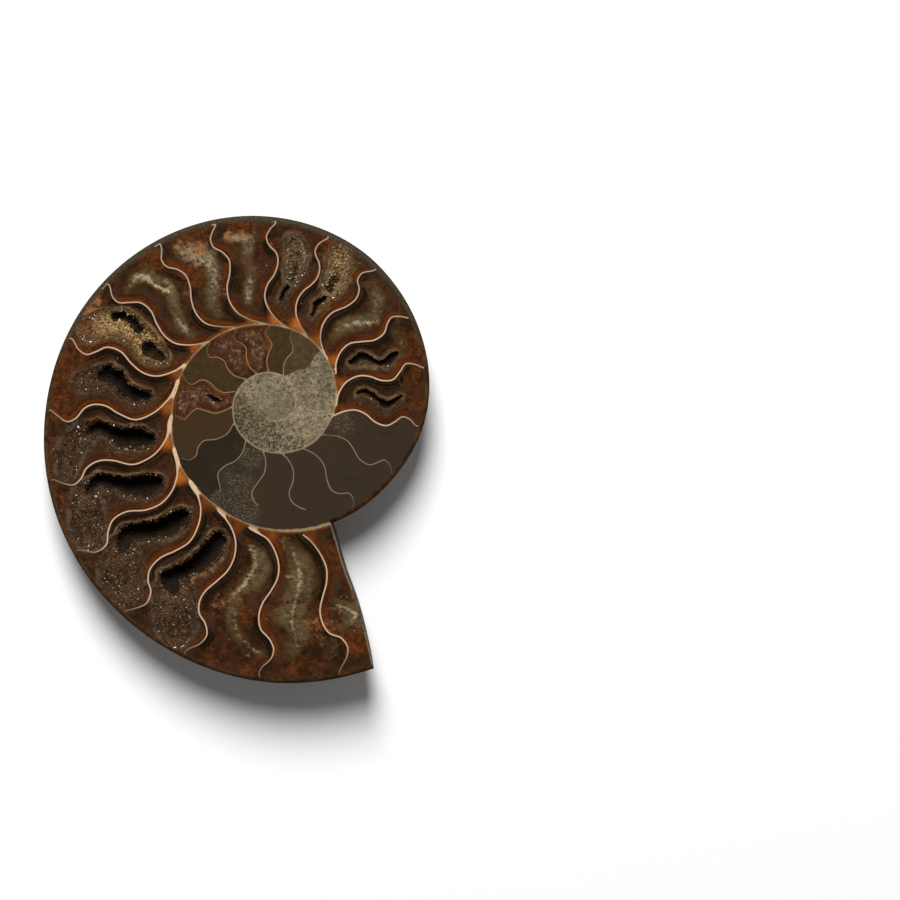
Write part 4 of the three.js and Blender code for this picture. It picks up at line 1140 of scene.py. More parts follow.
def thrice(value):
    """One number as a colour or a vector of three."""
    return (value, value, value)


class Field:
    """A number that varies over a surface. Arithmetic on it adds shader nodes."""

    def __init__(self, shader, socket):
        self.shader, self.socket = shader, socket

    def __add__(self, other):
        return self.shader.math("ADD", self, other)

    def __sub__(self, other):
        return self.shader.math("SUBTRACT", self, other)

    def __rsub__(self, other):
        return self.shader.math("SUBTRACT", other, self)

    def __mul__(self, other):
        return self.shader.math("MULTIPLY", self, other)

    def swing(self, size):
        """How far the field is above or below its middle value, made larger or smaller."""
        return (self - 0.5) * size

    __radd__ = __add__
    __rmul__ = __mul__


class Shader:
    """One material, built from fields."""

    def __init__(self, name):
        self.material = bpy.data.materials.new(name)
        self.material.use_nodes = True
        self.tree = self.material.node_tree
        self.surface = self.tree.nodes["Principled BSDF"]
        self.layers = {}

    def put(self, socket, value):
        """Links a field to a socket, or sets the socket to a number or a colour."""
        if isinstance(value, Field):
            self.tree.links.new(value.socket, socket)
        elif isinstance(value, tuple) and len(value) == 3 and len(socket.default_value) == 4:
            socket.default_value = (*value, 1)
        else:
            socket.default_value = value

    def set(self, label, value):
        """Gives one input of the surface a field, a number or a colour."""
        self.put(self.surface.inputs[label], value)

    def node(self, kind, inputs=(), **settings):
        """A new node, with its inputs by name or number and its settings."""
        made = self.tree.nodes.new("ShaderNode" + kind)
        for label, value in settings.items():
            setattr(made, label, value)
        for key, value in dict(inputs).items():
            self.put(made.inputs[key], value)
        return made

    def math(self, kind, *values):
        made = self.node("Math", dict(enumerate(values)), operation=kind)
        return Field(self, made.outputs[0])

    def vector(self, label):
        if label not in self.layers:
            made = self.node("Attribute", attribute_name=label)
            self.layers[label] = Field(self, made.outputs["Vector"])
        return self.layers[label]

    def fields(self, label):
        """The three numbers of one of the mesh's fields."""
        parts = self.node("SeparateXYZ", {0: self.vector(label)})
        return [Field(self, parts.outputs[k]) for k in range(3)]

    def moved(self, offset):
        """The place, moved far enough along for other noise."""
        inputs = {0: self.vector("place"), 1: thrice(1), 2: thrice(offset)}
        shifted = self.node("VectorMath", inputs, operation="MULTIPLY_ADD")
        return Field(self, shifted.outputs[0])

    def noise(self, scale, detail=4, offset=0.0, rough=0.55, warp=0.0):
        inputs = {"Vector": self.moved(offset), "Scale": scale, "Detail": detail}
        inputs.update({"Roughness": rough, "Distortion": warp})
        return Field(self, self.node("TexNoise", inputs).outputs["Fac"])

    def cells(self, scale, offset=0.0, output="Distance", feature="F1"):
        made = self.node("TexVoronoi", {"Vector": self.moved(offset), "Scale": scale}, feature=feature)
        return Field(self, made.outputs[output])

    def striped(self, distance, rate, along, offset, detail=2):
        """Noise drawn out along the lines of equal distance."""
        x, y, _ = self.fields("place")
        place = self.node("CombineXYZ", {0: distance * rate, 1: x * along + offset, 2: y * along})
        inputs = {"Vector": Field(self, place.outputs[0]), "Scale": 1.0, "Detail": detail}
        return Field(self, self.node("TexNoise", inputs).outputs["Fac"])

    def smooth(self, value, low, high):
        """0 at low, 1 at high and an S-curve between."""
        inputs = {"Value": value, "From Min": low, "From Max": high}
        made = self.node("MapRange", inputs, interpolation_type="SMOOTHSTEP")
        return Field(self, made.outputs[0])

    def ramp(self, value, low, high, a, b):
        """Colour a up to the low value and b from the high one, in an S-curve between."""
        return self.mix(self.smooth(value, low, high), a, b)

    def band(self, value, middle, width):
        """1 at the middle of a band and 0 at a width either side."""
        away = self.math("ABSOLUTE", value - middle)
        return self.smooth(away, width, 0.0)

    def mix(self, share, a, b):
        made = self.node("Mix", data_type="RGBA")
        self.put(made.inputs[0], share)
        self.put(made.inputs[6], a)
        self.put(made.inputs[7], b)
        return Field(self, made.outputs[2])

    def scaled(self, colour, factor):
        made = self.node("VectorMath", {0: colour, 3: factor}, operation="SCALE")
        return Field(self, made.outputs[0])

    def tinted(self, colour, factors):
        made = self.node("VectorMath", {0: colour, 1: factors}, operation="MULTIPLY")
        return Field(self, made.outputs[0])

    def bump(self, height, strength, distance):
        made = self.node("Bump", {"Height": height, "Strength": strength, "Distance": distance})
        return Field(self, made.outputs[0])

    def random(self, colour):
        """A steady random number from a colour."""
        parts = self.node("SeparateColor", {0: colour})
        return Field(self, parts.outputs[0])


# Colours of the stone
# Painted shade on a septum's dark side
PAINTED_SHADE_BLACK = (0.0085, 0.0055, 0.0038)
# Painted shade deep in the hollows
HOLLOW_PAINTED_SHADE = (0.0195, 0.0128, 0.0080)
DARK_BROWN = (0.019, 0.0105, 0.0062)
UMBER = (0.043, 0.0205, 0.0105)
# Rust red of the spar, which also serves as the painted glow of light on a septum's lit side
DARK_RUST_AND_PAINTED_GLOW = (0.040, 0.0135, 0.0050)
RUST_AND_PAINTED_GLOW = (0.112, 0.031, 0.0078)
DEEP_GLOW = (0.145, 0.036, 0.0055)
GLOW = (0.37, 0.110, 0.016)
VIOLET_GREY = (0.046, 0.0265, 0.0180)
BEIGE_DARK = (0.072, 0.040, 0.0180)
BEIGE = (0.195, 0.119, 0.057)
SUGAR_DARK = (0.022, 0.0120, 0.0068)
SUGAR = (0.092, 0.050, 0.0270)
GOLD_DARK = (0.050, 0.0240, 0.0095)
GOLD_PALE = (0.180, 0.1050, 0.0450)
WARM_BROWN = (0.092, 0.045, 0.0155)
OLIVE_BODY = (0.055, 0.0365, 0.0150)
OLIVE_PALE_BODY = (0.114, 0.081, 0.0380)
OLIVE_CREAM = (0.255, 0.188, 0.100)
WHITE_CREAM = (0.50, 0.40, 0.265)
# Painted glint
PAINTED_GLINT = (0.62, 0.56, 0.50)
RING = (0.135, 0.090, 0.060)
SMOKE_BODY = (0.125, 0.088, 0.060)
LINE_DARK = (0.070, 0.045, 0.030)
LINE_PALE = (0.57, 0.40, 0.27)
WALL_DARK = (0.100, 0.055, 0.025)
WALL_PALE = (0.700, 0.500, 0.280)
DULL_DARK = (0.040, 0.030, 0.020)
DULL_PALE = (0.230, 0.168, 0.108)
EDGE_GREY = (0.185, 0.155, 0.118)
MUD_BLACK = (0.0235, 0.0165, 0.0098)
MUD_GREY = (0.0370, 0.0260, 0.0165)
MUD_BROWN = (0.0480, 0.0260, 0.0110)
MUD_GRIT = (0.220, 0.188, 0.125)
OLIVE_DARK = (0.036, 0.0215, 0.0085)
OLIVE_PALE = (0.058, 0.0345, 0.0120)
GEODE_BROWN = (0.042, 0.0195, 0.0110)
GEODE_PALE = (0.108, 0.052, 0.0240)
GEODE_CRUMB = (0.27, 0.172, 0.100)
CHERT_DARK = (0.044, 0.028, 0.0130)
CHERT_PALE = (0.080, 0.053, 0.0255)
GRAIN_DARK = (0.058, 0.046, 0.0250)
GRAIN_MIDDLE = (0.158, 0.127, 0.0740)
GRAIN_PALE = (0.315, 0.250, 0.160)
GRAIN_GREEN = (0.145, 0.126, 0.0640)
MARGIN_OLIVE = (0.030, 0.0235, 0.0130)

# Painted shade beside the septa, and margins, reds and glows of the spar
PAINTED_SHADE_BROWN = (0.032, 0.0190, 0.0120)
MARGIN_DARK = (0.020, 0.0110, 0.0068)
MARGIN_BROWN = (0.052, 0.0250, 0.0125)
RED_DARK = (0.034, 0.0135, 0.0060)
RED = (0.140, 0.0420, 0.0108)
WARMER = (1.06, 0.92, 0.72)
WALL_GLOW = (0.165, 0.052, 0.011)
SPECK_OLIVE = (0.052, 0.039, 0.022)
SPECK_PALE = (0.082, 0.067, 0.044)
PEACH_DARK = (0.165, 0.056, 0.0140)
PEACH_PALE = (0.330, 0.165, 0.062)
CRACK = (0.20, 0.080, 0.025)

# Inner chambers and the lines between them
GEODE_RED = (0.120, 0.036, 0.0085)
GRAIN_GAP = (0.050, 0.042, 0.0240)
GRAIN_SPECK = (0.022, 0.019, 0.012)
GRAIN_LINE = (0.38, 0.32, 0.21)
LINE_ISLAND = (0.42, 0.175, 0.045)

# Crystals of the open chambers
CRYSTAL_DARK = (0.021, 0.0108, 0.0056)
CRYSTAL_BROWN = (0.116, 0.062, 0.0320)
CRYSTAL_RED_DARK = (0.030, 0.0110, 0.0050)
CRYSTAL_RED = (0.165, 0.070, 0.0300)
CRYSTAL_GOLD_DARK = (0.12, 0.060, 0.019)
CRYSTAL_GOLD = (0.56, 0.37, 0.155)
RUDDY_DARK = (0.060, 0.0210, 0.0080)
RUDDY = (0.210, 0.085, 0.028)
BORDER_BROWN = (0.036, 0.0190, 0.0100)
BORDER_GOLD = (0.098, 0.046, 0.020)
LIP_DARK = (0.090, 0.064, 0.041)
LIP_PALE = (0.185, 0.142, 0.098)
CRYSTAL_PALE = (0.27, 0.200, 0.130)

# Outside of the shell, bevel and broken end
SHELL_DARK = (0.030, 0.024, 0.014)
SHELL_BROWN = (0.075, 0.045, 0.022)
SHELL_RED = (0.12, 0.050, 0.014)
SUTURE = (0.015, 0.010, 0.006)
GROWTH = (0.16, 0.11, 0.06)
BEVEL_RUST_DARK = (0.034, 0.0180, 0.0085)
BEVEL_RUST = (0.090, 0.0420, 0.0150)
BEVEL_GREY_DARK = (0.030, 0.0225, 0.0130)
BEVEL_GREY = (0.066, 0.0530, 0.0340)
END_DARK = (0.040, 0.0280, 0.0160)
END_PALE = (0.120, 0.094, 0.062)
END_RUST = (0.10, 0.045, 0.018)
END_SPECK = (0.06, 0.045, 0.03)


def spar_colour(s, back, front, inner, outer, first, noises):
    """Brown spar: painted shade on a septum's dark side, violet and a painted red glow of light on its lit
    side, red at the edge.
    """
    amber, ember = s.fields("tints")[1:]
    behind, before, _ = s.fields("bands")
    broad, mottle, fine, wander = noises
    past_behind = behind + wander * 0.7
    past_before = before + wander * 0.8
    shade_stripes = s.striped(behind, 1.9, 0.10, 5.0)
    glow_stripes = s.striped(before, 1.5, 0.12, 9.0)
    along_edge = s.striped(outer, 0.5, 0.24, 13.0, 3)

    colour = s.ramp(mottle + broad.swing(0.9), 0.34, 0.68, DARK_BROWN, UMBER)
    rusty = s.smooth(s.noise(0.34, 6, 41.0, 0.68), 0.46, 0.68)
    colour = s.mix(rusty * 0.55, colour, s.ramp(fine, 0.35, 0.65, DARK_RUST_AND_PAINTED_GLOW, RUST_AND_PAINTED_GLOW))
    colour = s.mix(s.band(past_before, 2.7, 1.3) * 0.7, colour, VIOLET_GREY)
    # Painted glow of the light from above, red on a septum's lit side
    painted_glow = s.ramp(glow_stripes + fine.swing(0.4), 0.40, 0.64, DARK_RUST_AND_PAINTED_GLOW, RUST_AND_PAINTED_GLOW)
    colour = s.mix(s.smooth(past_before, 2.7, 0.7) * 0.85, colour, painted_glow)
    # Painted shade, near-black on a septum's dark side
    painted_shade = s.ramp(shade_stripes + fine.swing(0.3), 0.46, 0.66, PAINTED_SHADE_BLACK, PAINTED_SHADE_BROWN)
    colour = s.mix(s.smooth(past_behind, 3.0, 1.5) * 0.95, colour, painted_shade)

    red_share = s.smooth(ember + mottle.swing(1.4) + broad.swing(0.6), 0.15, 0.95) * 0.85
    margin = s.ramp(along_edge + mottle.swing(0.6), 0.34, 0.66, MARGIN_DARK, MARGIN_BROWN)
    colour = s.mix(s.smooth(outer + wander, 5.5, 2.4) * 0.75, colour, margin)
    patchy = along_edge.swing(0.5) + fine.swing(1.0) + mottle.swing(0.9)
    red = s.ramp(patchy, -0.22, 0.28, RED_DARK, RED)
    colour = s.mix(red_share * 0.85, colour, red)
    colour = s.tinted(colour, WARMER)

    wedge = s.smooth(back + inner * 0.9 + wander * 0.9, 5.6, 0.8)
    strength = wedge * (amber * 0.9 + 0.1) + (broad - 0.5) * wedge * 0.3
    glow = s.ramp(strength, 0.25, 0.85, DEEP_GLOW, GLOW)
    colour = s.ramp(strength, 0.04, 0.50, colour, glow)
    colour = s.mix(s.smooth(inner + wander * 0.2, 1.2, 0.2) * 0.6, colour, WALL_GLOW)

    x, y, _ = s.fields("place")
    upper = s.smooth(y - x * 0.15, 20.0, 32.0)
    olive_edge = s.smooth(outer + fine.swing(1.2) + mottle.swing(1.6) - upper * 0.5, 1.9, 0.2)
    speckled_edge = s.ramp(fine, 0.38, 0.66, MARGIN_OLIVE, s.mix(upper, SPECK_OLIVE, SPECK_PALE))
    colour = s.mix(olive_edge * 0.85, colour, speckled_edge)
    pale_edge = first * s.smooth(front + mottle.swing(0.9), 0.50, 0.15)
    return s.mix(pale_edge * 0.8, colour, EDGE_GREY)


def cloudy_colour(s, colour, noises):
    """Olive and cream spar, with white ragged veins along the strokes."""
    cloud = s.fields("tints")[0]
    vein, radius = s.fields("more")[1:]
    _, mottle, fine, _ = noises
    marble = s.noise(0.42, 4, 51.0, 0.6, 0.9)
    comb = s.striped(radius, 2.4, 0.16, 17.0, 3)
    strength = cloud + marble.swing(0.9) + comb.swing(0.3)
    share = s.smooth(strength, 0.08, 0.80)
    lumps = s.noise(0.85, 4, 53.0, 0.6, 0.7)
    pale = s.smooth(lumps * 0.8 + mottle * 0.35 + comb * 0.25 + cloud * 0.2, 0.60, 1.02)
    x, y, _ = s.fields("place")
    smoky = s.smooth(x, -22.0, -12.0) * s.smooth(y, 18.0, 28.0)
    cloudy = s.mix(pale, OLIVE_BODY, s.mix(smoky * 0.65, OLIVE_PALE_BODY, SMOKE_BODY))
    cloudy = s.mix(s.smooth(strength, 0.95, 0.30) * 0.8, cloudy, WARM_BROWN)
    smudge = s.smooth(s.noise(0.5, 4, 57.0, 0.6, 0.6) + comb.swing(0.2), 0.52, 0.36)
    cloudy = s.mix(smudge * 0.75, cloudy, UMBER)
    colour = s.mix(share * 0.92, colour, cloudy)
    ragged = s.noise(1.2, 6, 61.0, 0.7)
    creamy = s.smooth(vein * 0.9 + ragged.swing(2.4) + lumps.swing(1.5) + comb.swing(0.8), 0.30, 1.20)
    colour = s.mix(creamy * s.smooth(vein, 0.0, 0.12) * 0.9, colour, OLIVE_CREAM)
    white = s.smooth(vein * share + ragged.swing(2.2) + comb.swing(0.7), 0.62, 1.45)
    return s.mix(white * s.smooth(fine, 0.25, 0.65) * 0.7, colour, WHITE_CREAM)


def mud_colours(s, tone, noises):
    """Fine dark stone filling, with pale grit in places."""
    speckle = s.fields("more")[0]
    broad, mottle, fine, _ = noises
    shade = tone + broad.swing(0.9) + mottle.swing(0.7) + fine.swing(0.5)
    colour = s.ramp(shade, 0.0, 0.5, MUD_BLACK, MUD_GREY)
    colour = s.ramp(shade, 0.5, 1.0, colour, MUD_BROWN)
    dusty = s.smooth(speckle + mottle.swing(1.5), 0.25, 0.9)
    dots = s.cells(2.7, 91.0)
    chance = s.random(s.cells(2.7, 91.0, "Color"))
    grit = s.smooth(dots, 0.42, 0.18) * s.smooth(chance + dusty * 0.52, 0.985, 1.05)
    colour = s.mix(grit * s.smooth(fine, 0.3, 0.62) * 0.85, colour, MUD_GRIT)
    colour = s.mix(s.smooth(s.noise(2.9, 3, 93.0, 0.7), 0.52, 0.66) * dusty * 0.5, colour, MUD_GRIT)
    hidden = s.smooth(s.cells(2.1, 95.0), 0.30, 0.12) * dusty
    return s.mix(hidden * 0.5, colour, MUD_BLACK)


def geode_colours(s, depth_in, noises):
    """Small red-brown chambers with banded walls and pinkish crumbs."""
    _, mottle, fine, _ = noises
    bands = s.striped(depth_in, 1.7, 0.2, 23.0)
    colour = s.ramp(bands + fine.swing(0.4) + mottle.swing(0.8), 0.40, 0.66, DARK_RUST_AND_PAINTED_GLOW, GEODE_RED)
    colour = s.ramp(depth_in, 0.5, 1.4, colour, GEODE_BROWN)
    pale = s.smooth(mottle * 0.6 + fine * 0.4, 0.42, 0.60) * s.smooth(depth_in, 0.9, 1.7)
    colour = s.mix(pale, colour, GEODE_PALE)
    middle = s.smooth(depth_in + mottle.swing(2.0), 1.0, 2.0)
    crumbs = s.smooth(s.noise(1.5, 5, 81.0, 0.7) + mottle.swing(0.5), 0.52, 0.68) * middle
    return s.mix(crumbs * 0.75, colour, GEODE_CRUMB)


def gravel_colours(s, noises):
    """Grey, speckled and greenish calcite of the innermost whorls."""
    radius = s.fields("more")[2]
    broad, mottle, fine, _ = noises
    x, y, _ = s.fields("place")
    tiny = s.random(s.cells(2.6, 107.0, "Color"))
    low_left = s.smooth(x * 0.7 + y + mottle.swing(8.0), 1.0, -5.0)
    salt = s.noise(3.4, 4, 109.0, 0.75)
    shade = tiny * 0.10 + salt * 0.9 + mottle.swing(0.7) + broad.swing(0.4) - low_left * 0.08
    colour = s.ramp(shade, 0.22, 0.52, GRAIN_DARK, GRAIN_MIDDLE)
    colour = s.ramp(shade, 0.42, 0.70, colour, GRAIN_PALE)
    green = s.smooth(radius + mottle.swing(2.0), 6.6, 5.2)
    colour = s.mix(green * 0.4, colour, GRAIN_GREEN)
    gaps = s.smooth(s.cells(0.32, 103.0, feature="DISTANCE_TO_EDGE") + fine.swing(0.22), 0.06, 0.0)
    colour = s.mix(gaps * (low_left * 0.6 + 0.1), colour, GRAIN_GAP)
    specks = s.smooth(s.noise(1.8, 3, 105.0, 0.6) + low_left * 0.05, 0.565, 0.625)
    return s.mix(specks * 0.85, colour, GRAIN_SPECK)


def polished_material():
    """The polished face: spar, clouds, inner fillings, lines and the walls of the hollows."""
    s = Shader("polished_face")
    back, front, inner = s.fields("gaps")
    outer, first, wall = s.fields("edges")
    mud, olive, grain = s.fields("fills")
    geode, chert, tone = s.fields("kinds")
    line, dull, light = s.fields("lines")
    rim, height, slot = s.fields("hollow")
    broad = s.noise(0.16, 3, 3.0)
    mottle = s.noise(0.75, 6, 11.0, 0.62)
    fine = s.noise(2.3, 5, 21.0, 0.68)
    wander = mottle.swing(1.8) + fine.swing(0.7)
    noises = (broad, mottle, fine, wander)

    colour = spar_colour(s, back, front, inner, outer, first, noises)
    colour = cloudy_colour(s, colour, noises)

    sugar_grain = s.random(s.cells(2.5, 63.0, "Color"))
    gold = s.fields("coil")[2]
    sugar_share = s.smooth(sugar_grain * 0.5 + fine * 0.7, 0.35, 0.95)
    brown_sugar = s.mix(sugar_share, SUGAR_DARK, SUGAR)
    sugar = s.ramp(gold, 0.1, 0.8, brown_sugar, s.mix(sugar_share, GOLD_DARK, GOLD_PALE))
    behind, before, peach = s.fields("bands")
    below = s.smooth(behind - before, -0.5, 2.5) * s.smooth(before + wander * 0.3, 1.0, 2.0)
    near_shelf = s.smooth(rim + wander * 1.3, 3.0, -0.2) * (1 - slot * (1 - below))
    colour = s.mix(near_shelf * 0.9, colour, sugar)
    ring = s.band(rim + mottle.swing(1.8), 0.7, 1.0) * s.smooth(s.noise(0.3, 3, 69.0), 0.40, 0.62)
    ring = ring * (1 - slot)
    colour = s.mix(ring * 0.45, colour, RING)
    upper = s.smooth(behind - before, 2.5, -0.5) * 0.7 + 0.3
    lip = s.smooth(rim + fine.swing(1.4) + mottle.swing(1.0), 1.3, 0.25) * slot * upper
    lip_colour = s.ramp(s.striped(rim, 2.2, 0.25, 27.0) + fine.swing(0.6), 0.40, 0.66, BEIGE_DARK, BEIGE)
    colour = s.mix(lip * s.smooth(s.noise(0.5, 4, 67.0), 0.25, 0.50) * 0.9, colour, lip_colour)
    golden_share = s.smooth(peach + mottle.swing(1.4) + fine.swing(0.7), 0.20, 0.95)
    golden_share = golden_share * s.smooth(peach, 0.0, 0.25)
    golden = s.ramp(fine * 0.4 + mottle * 0.6, 0.40, 0.62, PEACH_DARK, PEACH_PALE)
    colour = s.mix(golden_share * 0.8, colour, golden)

    colour = s.scaled(colour, s.smooth(fine, 0.25, 0.75) * 0.4 + 0.8)
    crack = s.smooth(s.cells(0.16, 111.0, feature="DISTANCE_TO_EDGE") + fine.swing(0.03), 0.020, 0.006)
    crack_place = s.smooth(s.noise(0.30, 3, 113.0), 0.56, 0.64)
    colour = s.mix(crack * crack_place * 0.28, colour, CRACK)
    # Painted white glints of tiny crystals on the face
    glint_chance = s.random(s.cells(1.5, 71.0, "Color"))
    painted_glint = s.smooth(s.cells(1.5, 71.0), 0.22, 0.10) * s.smooth(glint_chance, 0.982, 0.99)
    colour = s.mix(painted_glint * 0.6, colour, PAINTED_GLINT)

    colour = s.mix(mud, colour, mud_colours(s, tone, noises))
    colour = s.mix(olive, colour, s.ramp(mottle * 0.6 + fine * 0.4, 0.38, 0.62, OLIVE_DARK, OLIVE_PALE))
    nearest = s.math("MINIMUM", s.math("MINIMUM", back, front), s.math("MINIMUM", inner, outer))
    nearest = nearest + wander * 0.3
    colour = s.mix(geode, colour, geode_colours(s, nearest, noises))
    chert_share = s.smooth(mottle * 0.6 + fine * 0.4, 0.36, 0.64)
    colour = s.mix(chert, colour, s.mix(chert_share, CHERT_DARK, CHERT_PALE))
    colour = s.mix(grain, colour, gravel_colours(s, noises))

    narrowed = line * ((1 - light) * 0.4 + 1) + fine.swing(0.10) + (mottle - 0.5) * (wall * 0.35 + dull * 0.2)
    on_line = s.smooth(narrowed, LINE_HALF * 1.4, LINE_HALF * 0.6)
    line_share = light * light + fine.swing(0.35)
    septum_colour = s.mix(line_share, LINE_DARK, LINE_PALE)
    line_colour = s.mix(wall, septum_colour, s.mix(line_share, WALL_DARK, WALL_PALE))
    line_colour = s.mix(dull, line_colour, s.mix(line_share, DULL_DARK, DULL_PALE))
    islands = s.smooth(s.noise(0.9, 3, 121.0), 0.52, 0.60) * s.smooth(line, 0.02, -0.06)
    line_colour = s.mix(islands * wall * 0.85, line_colour, LINE_ISLAND)
    line_colour = s.mix(wall * s.smooth(fine + mottle.swing(0.5), 0.54, 0.68) * 0.5, line_colour, WALL_DARK)
    line_colour = s.mix(grain * dull * 0.8, line_colour, GRAIN_LINE)
    colour = s.mix(on_line * (1 - grain * dull * 0.5), colour, line_colour)

    sunk = s.smooth(rim, 0.02, -0.12)
    # Painted shade that deepens down the walls of the hollows
    shaded_wall_colour = s.ramp(height, -0.5, -1.4, sugar, HOLLOW_PAINTED_SHADE)
    colour = s.mix(sunk, colour, shaded_wall_colour)
    s.set("Base Color", colour)
    s.set("Roughness", s.mix(sunk, thrice(0.07), thrice(0.5)))
    s.set("Specular IOR Level", 0.5 - sunk * 0.46)
    s.set("Normal", s.bump(sugar_grain * sunk, 0.25, 0.00012))
    return s.material


def crystal_material():
    """The crystals: brown, reddened or golden, with painted white glints and painted shade deep in the
    hollow.
    """
    s = Shader("chamber_crystals")
    tone, warmth, edge = s.fields("look")
    x, _, height = s.fields("place")
    mottle = s.noise(0.6, 6, 5.0, 0.65)
    patches = s.noise(0.14, 3, 31.0, 0.6)
    shade = mottle * 0.8 + tone * 0.5 + patches * 0.7 - 0.525
    brown = s.ramp(shade, 0.15, 0.75, CRYSTAL_DARK, CRYSTAL_BROWN)
    reddened = s.smooth(s.noise(0.22, 4, 15.0, 0.6), 0.48, 0.62)
    brown = s.mix(reddened * 0.6, brown, s.ramp(shade, 0.15, 0.75, CRYSTAL_RED_DARK, CRYSTAL_RED))
    golden = s.ramp(shade, 0.2, 0.7, CRYSTAL_GOLD_DARK, CRYSTAL_GOLD)
    colour = s.mix(warmth, brown, golden)
    reddish = s.smooth(x + mottle.swing(4.0), -40.5, -45.0) * warmth
    colour = s.mix(reddish * 0.8, colour, s.ramp(shade, 0.2, 0.7, RUDDY_DARK, RUDDY))
    border = s.smooth(edge + mottle.swing(2.8), -1.9, -0.1)
    border_colour = s.mix(warmth, BORDER_BROWN, BORDER_GOLD)
    pale_lip = s.ramp(shade, 0.2, 0.7, LIP_DARK, LIP_PALE)
    border_colour = s.mix(s.band(warmth, 0.5, 0.42), border_colour, pale_lip)
    colour = s.mix(border * (warmth * 0.25 + 0.6), colour, border_colour)
    colour = s.mix(s.smooth(tone, 0.90, 0.98) * 0.45, colour, CRYSTAL_PALE)
    # Painted white glints on a few crystals
    colour = s.mix(s.smooth(tone, 0.980, 0.986) * 0.8, colour, PAINTED_GLINT)
    # Painted shade that deepens towards the bottom of a hollow
    colour = s.mix(s.smooth(height, -1.1, -1.9) * 0.96, colour, HOLLOW_PAINTED_SHADE)
    s.set("Base Color", colour)
    glint = s.smooth(tone, 0.90, 0.94) * s.smooth(height, -2.4, -1.2)
    s.set("Roughness", s.mix(glint, thrice(0.5), thrice(0.12)))
    s.set("Specular IOR Level", glint * 0.5 + 0.04)
    return s.material


def shell_material():
    """The outside of the shell, with sutures and growth lines, and the bevel round the face."""
    s = Shader("shell_back")
    share, place, _ = s.fields("coil")
    broad = s.noise(0.09, 4, 7.0)
    mottle = s.noise(0.45, 6, 13.0, 0.6)
    fine = s.noise(2.6, 4, 23.0, 0.6)
    colour = s.ramp(mottle + (broad - 0.5), 0.35, 0.7, SHELL_DARK, SHELL_BROWN)
    colour = s.mix(s.smooth(broad, 0.5, 0.68) * 0.6, colour, SHELL_RED)
    frill = (s.noise(0.35, 3, 33.0, 0.7, 1.0) - 0.5) * 0.035 + (s.noise(1.1, 4, 43.0, 0.8, 1.2) - 0.5) * 0.022
    lobes = s.math("SINE", place * 34.0) * 0.006 + s.math("SINE", place * 11.0) * 0.009
    turn = s.math("FRACT", (share + frill + lobes) * 17.0 + 8.0)
    suture = s.smooth(s.math("ABSOLUTE", turn - 0.5), 0.035, 0.012)
    on_flank = s.smooth(place, 0.02, 0.10) * s.smooth(place, 1.0, 0.96)
    colour = s.mix(suture * on_flank * 0.8, colour, SUTURE)
    growth = s.smooth(s.math("SINE", share * 1130.0 + place * 14.0 + fine.swing(2)), 0.2, 1.0)
    colour = s.mix(growth * 0.14, colour, GROWTH)
    bevel = s.smooth(place, 0.88, 0.955)
    _, y, _ = s.fields("place")
    rusty = s.ramp(mottle, 0.35, 0.65, BEVEL_RUST_DARK, BEVEL_RUST)
    grey = s.ramp(fine, 0.38, 0.62, BEVEL_GREY_DARK, BEVEL_GREY)
    colour = s.mix(bevel, colour, s.ramp(y, 12.0, 26.0, rusty, grey))
    s.set("Base Color", colour)
    rough = s.ramp(mottle, 0.3, 0.8, thrice(0.18), thrice(0.34))
    s.set("Roughness", s.mix(bevel, rough, thrice(0.8)))
    s.set("Normal", s.bump(fine * 0.6 + growth * 0.5, 0.3, 0.00012))
    s.set("Coat Weight", (1 - bevel) * 0.5)
    s.set("Specular IOR Level", (1 - bevel) * 0.5)
    s.set("Coat Roughness", 0.12)
    return s.material


def broken_material():
    """The rough stone of the broken end."""
    s = Shader("broken_end")
    mottle = s.noise(0.5, 6, 17.0, 0.65)
    fine = s.noise(2.8, 5, 27.0, 0.65)
    colour = s.ramp(mottle, 0.35, 0.68, END_DARK, END_PALE)
    colour = s.mix(s.smooth(s.noise(0.25, 4, 37.0), 0.52, 0.66) * 0.7, colour, END_RUST)
    colour = s.mix(s.smooth(fine, 0.6, 0.7) * 0.5, colour, END_SPECK)
    s.set("Base Color", colour)
    s.set("Roughness", 0.6)
    s.set("Specular IOR Level", 0.12)
    s.set("Normal", s.bump(fine + mottle, 0.5, 0.0004))
    return s.material


# Build

stone = stone_piece([polished_material(), shell_material(), broken_material()])
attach(stone, "root")
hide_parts("ammonite_half")

# How golden the crystals of a chamber are, from 0 for brown to 1
WARMTH = {"crystal_crust_6": 1.0, "crystal_crust_8": 0.7, "crystal_crust_7": 0.35, "crystal_crust_5": 0.1}
LEAST_WARMTH = 0.06
crystal_look = crystal_material()
for number, (node, spine) in enumerate(CHAMBERS.items()):
    crust_piece(node, spine, 100 * (number + 1), WARMTH.get(node, LEAST_WARMTH), crystal_look)

# Floor, light and camera

FLOOR_HALF = 3.0
FLOOR_TINTS = (0.93, 0.93, 0.93), (0.95, 0.95, 0.95)


def floor():
    """A wide pale floor under the half."""
    shader = Shader("pale_floor")
    tint = shader.ramp(shader.noise(0.01, 3), 0.3, 0.7, *FLOOR_TINTS)
    shader.set("Base Color", tint)
    shader.set("Roughness", 0.9)
    half = FLOOR_HALF
    corners = [(-half, -half, 0), (half, -half, 0), (half, half, 0), (-half, half, 0)]
    mesh = bpy.data.meshes.new("floor")
    mesh.from_pydata(corners, [], [(0, 1, 2, 3)])
    mesh.materials.append(shader.material)
    piece = placed("floor", mesh)


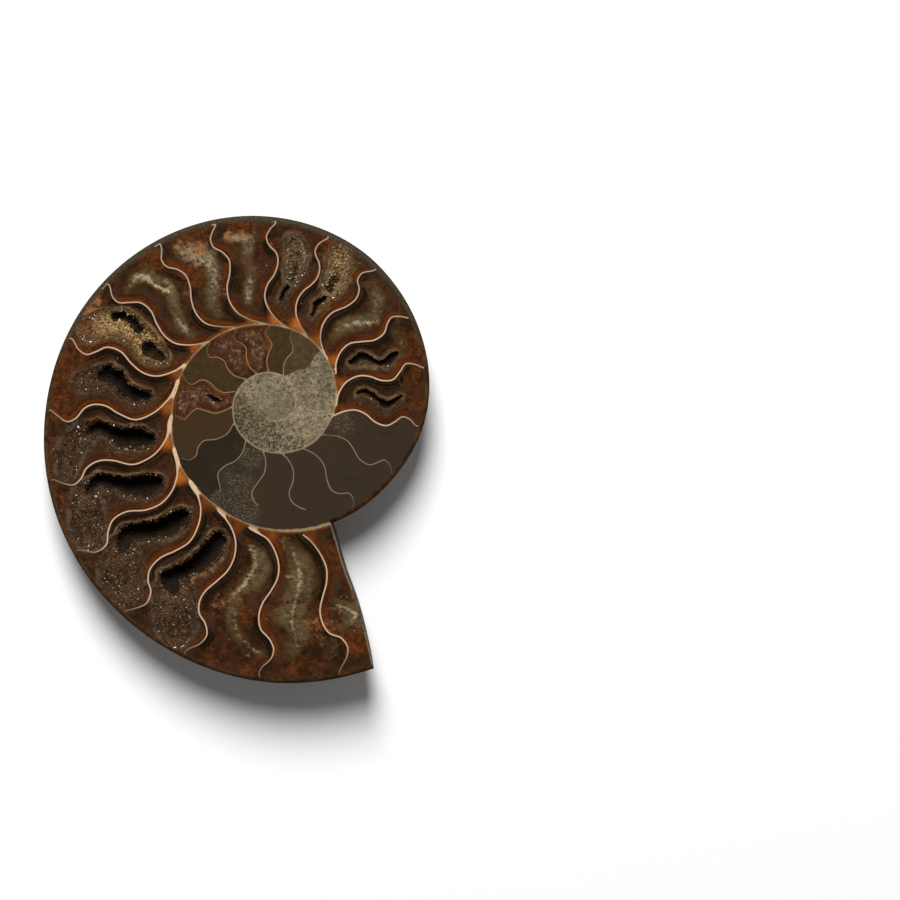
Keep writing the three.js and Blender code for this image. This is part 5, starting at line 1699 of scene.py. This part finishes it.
def aim(thing, place, target, up):
    """Turns a light or camera at a place to look at a target."""
    forward = (target - place).normalized()
    side = forward.cross(up).normalized()
    turn = Matrix((side, side.cross(forward), -forward)).transposed()
    thing.matrix_world = Matrix.Translation(place) @ turn.to_4x4()


def soft_light(name, place, size, power):
    """An oval area light that looks at the middle of the floor."""
    light = bpy.data.lights.new(name, "AREA")
    light.shape = "ELLIPSE"
    light.size, light.size_y = size
    light.energy = power
    thing = placed(name, light)
    aim(thing, Vector(place), Vector((0, 0, 0)), Vector((0, 0, 1)))


def world():
    """Dim all round, and dark straight overhead."""
    made = bpy.data.worlds.new("studio")
    made.use_nodes = True
    tree = made.node_tree
    place = tree.nodes.new("ShaderNodeTexCoord")
    parts = tree.nodes.new("ShaderNodeSeparateXYZ")
    ramp = tree.nodes.new("ShaderNodeMapRange")
    ramp.interpolation_type = "SMOOTHSTEP"
    for label, value in {"From Min": 0.96, "From Max": 0.86, "To Min": 0.010, "To Max": 0.19}.items():
        ramp.inputs[label].default_value = value
    tree.links.new(place.outputs["Generated"], parts.inputs[0])
    tree.links.new(parts.outputs["Z"], ramp.inputs["Value"])
    tree.nodes["Background"].inputs["Color"].default_value = (1, 1, 1, 1)
    tree.links.new(ramp.outputs[0], tree.nodes["Background"].inputs["Strength"])
    bpy.context.scene.world = made


# One large soft light, above the upper side of the half, in metres and watts
KEY_PLACE = (-0.183, 1.493, 1.997)
KEY_SIZE = (0.89, 1.42)
KEY_POWER = 80

floor()
world()
soft_light("key_light", KEY_PLACE, KEY_SIZE, KEY_POWER)

# The photograph's frame is 225 mm wide at the face, and its middle is right of and below the coil's axis
CAMERA_DISTANCE = 0.9
FRAME_WIDTH = 0.225
FRAME_MIDDLE = (45.5, -10.0, 0.0)

camera = bpy.data.cameras.new("camera")
camera.sensor_width = 36
camera.lens = camera.sensor_width * CAMERA_DISTANCE / FRAME_WIDTH
camera_object = placed("camera", camera)
middle = Vector(to_row([FRAME_MIDDLE])[0])
face_up = FACE_TURN @ Vector((0, 1, 0))
aim(camera_object, middle + FACE_NORMAL * CAMERA_DISTANCE, middle, face_up)
bpy.context.scene.camera = camera_object
bpy.context.scene.view_settings.view_transform = "Standard"
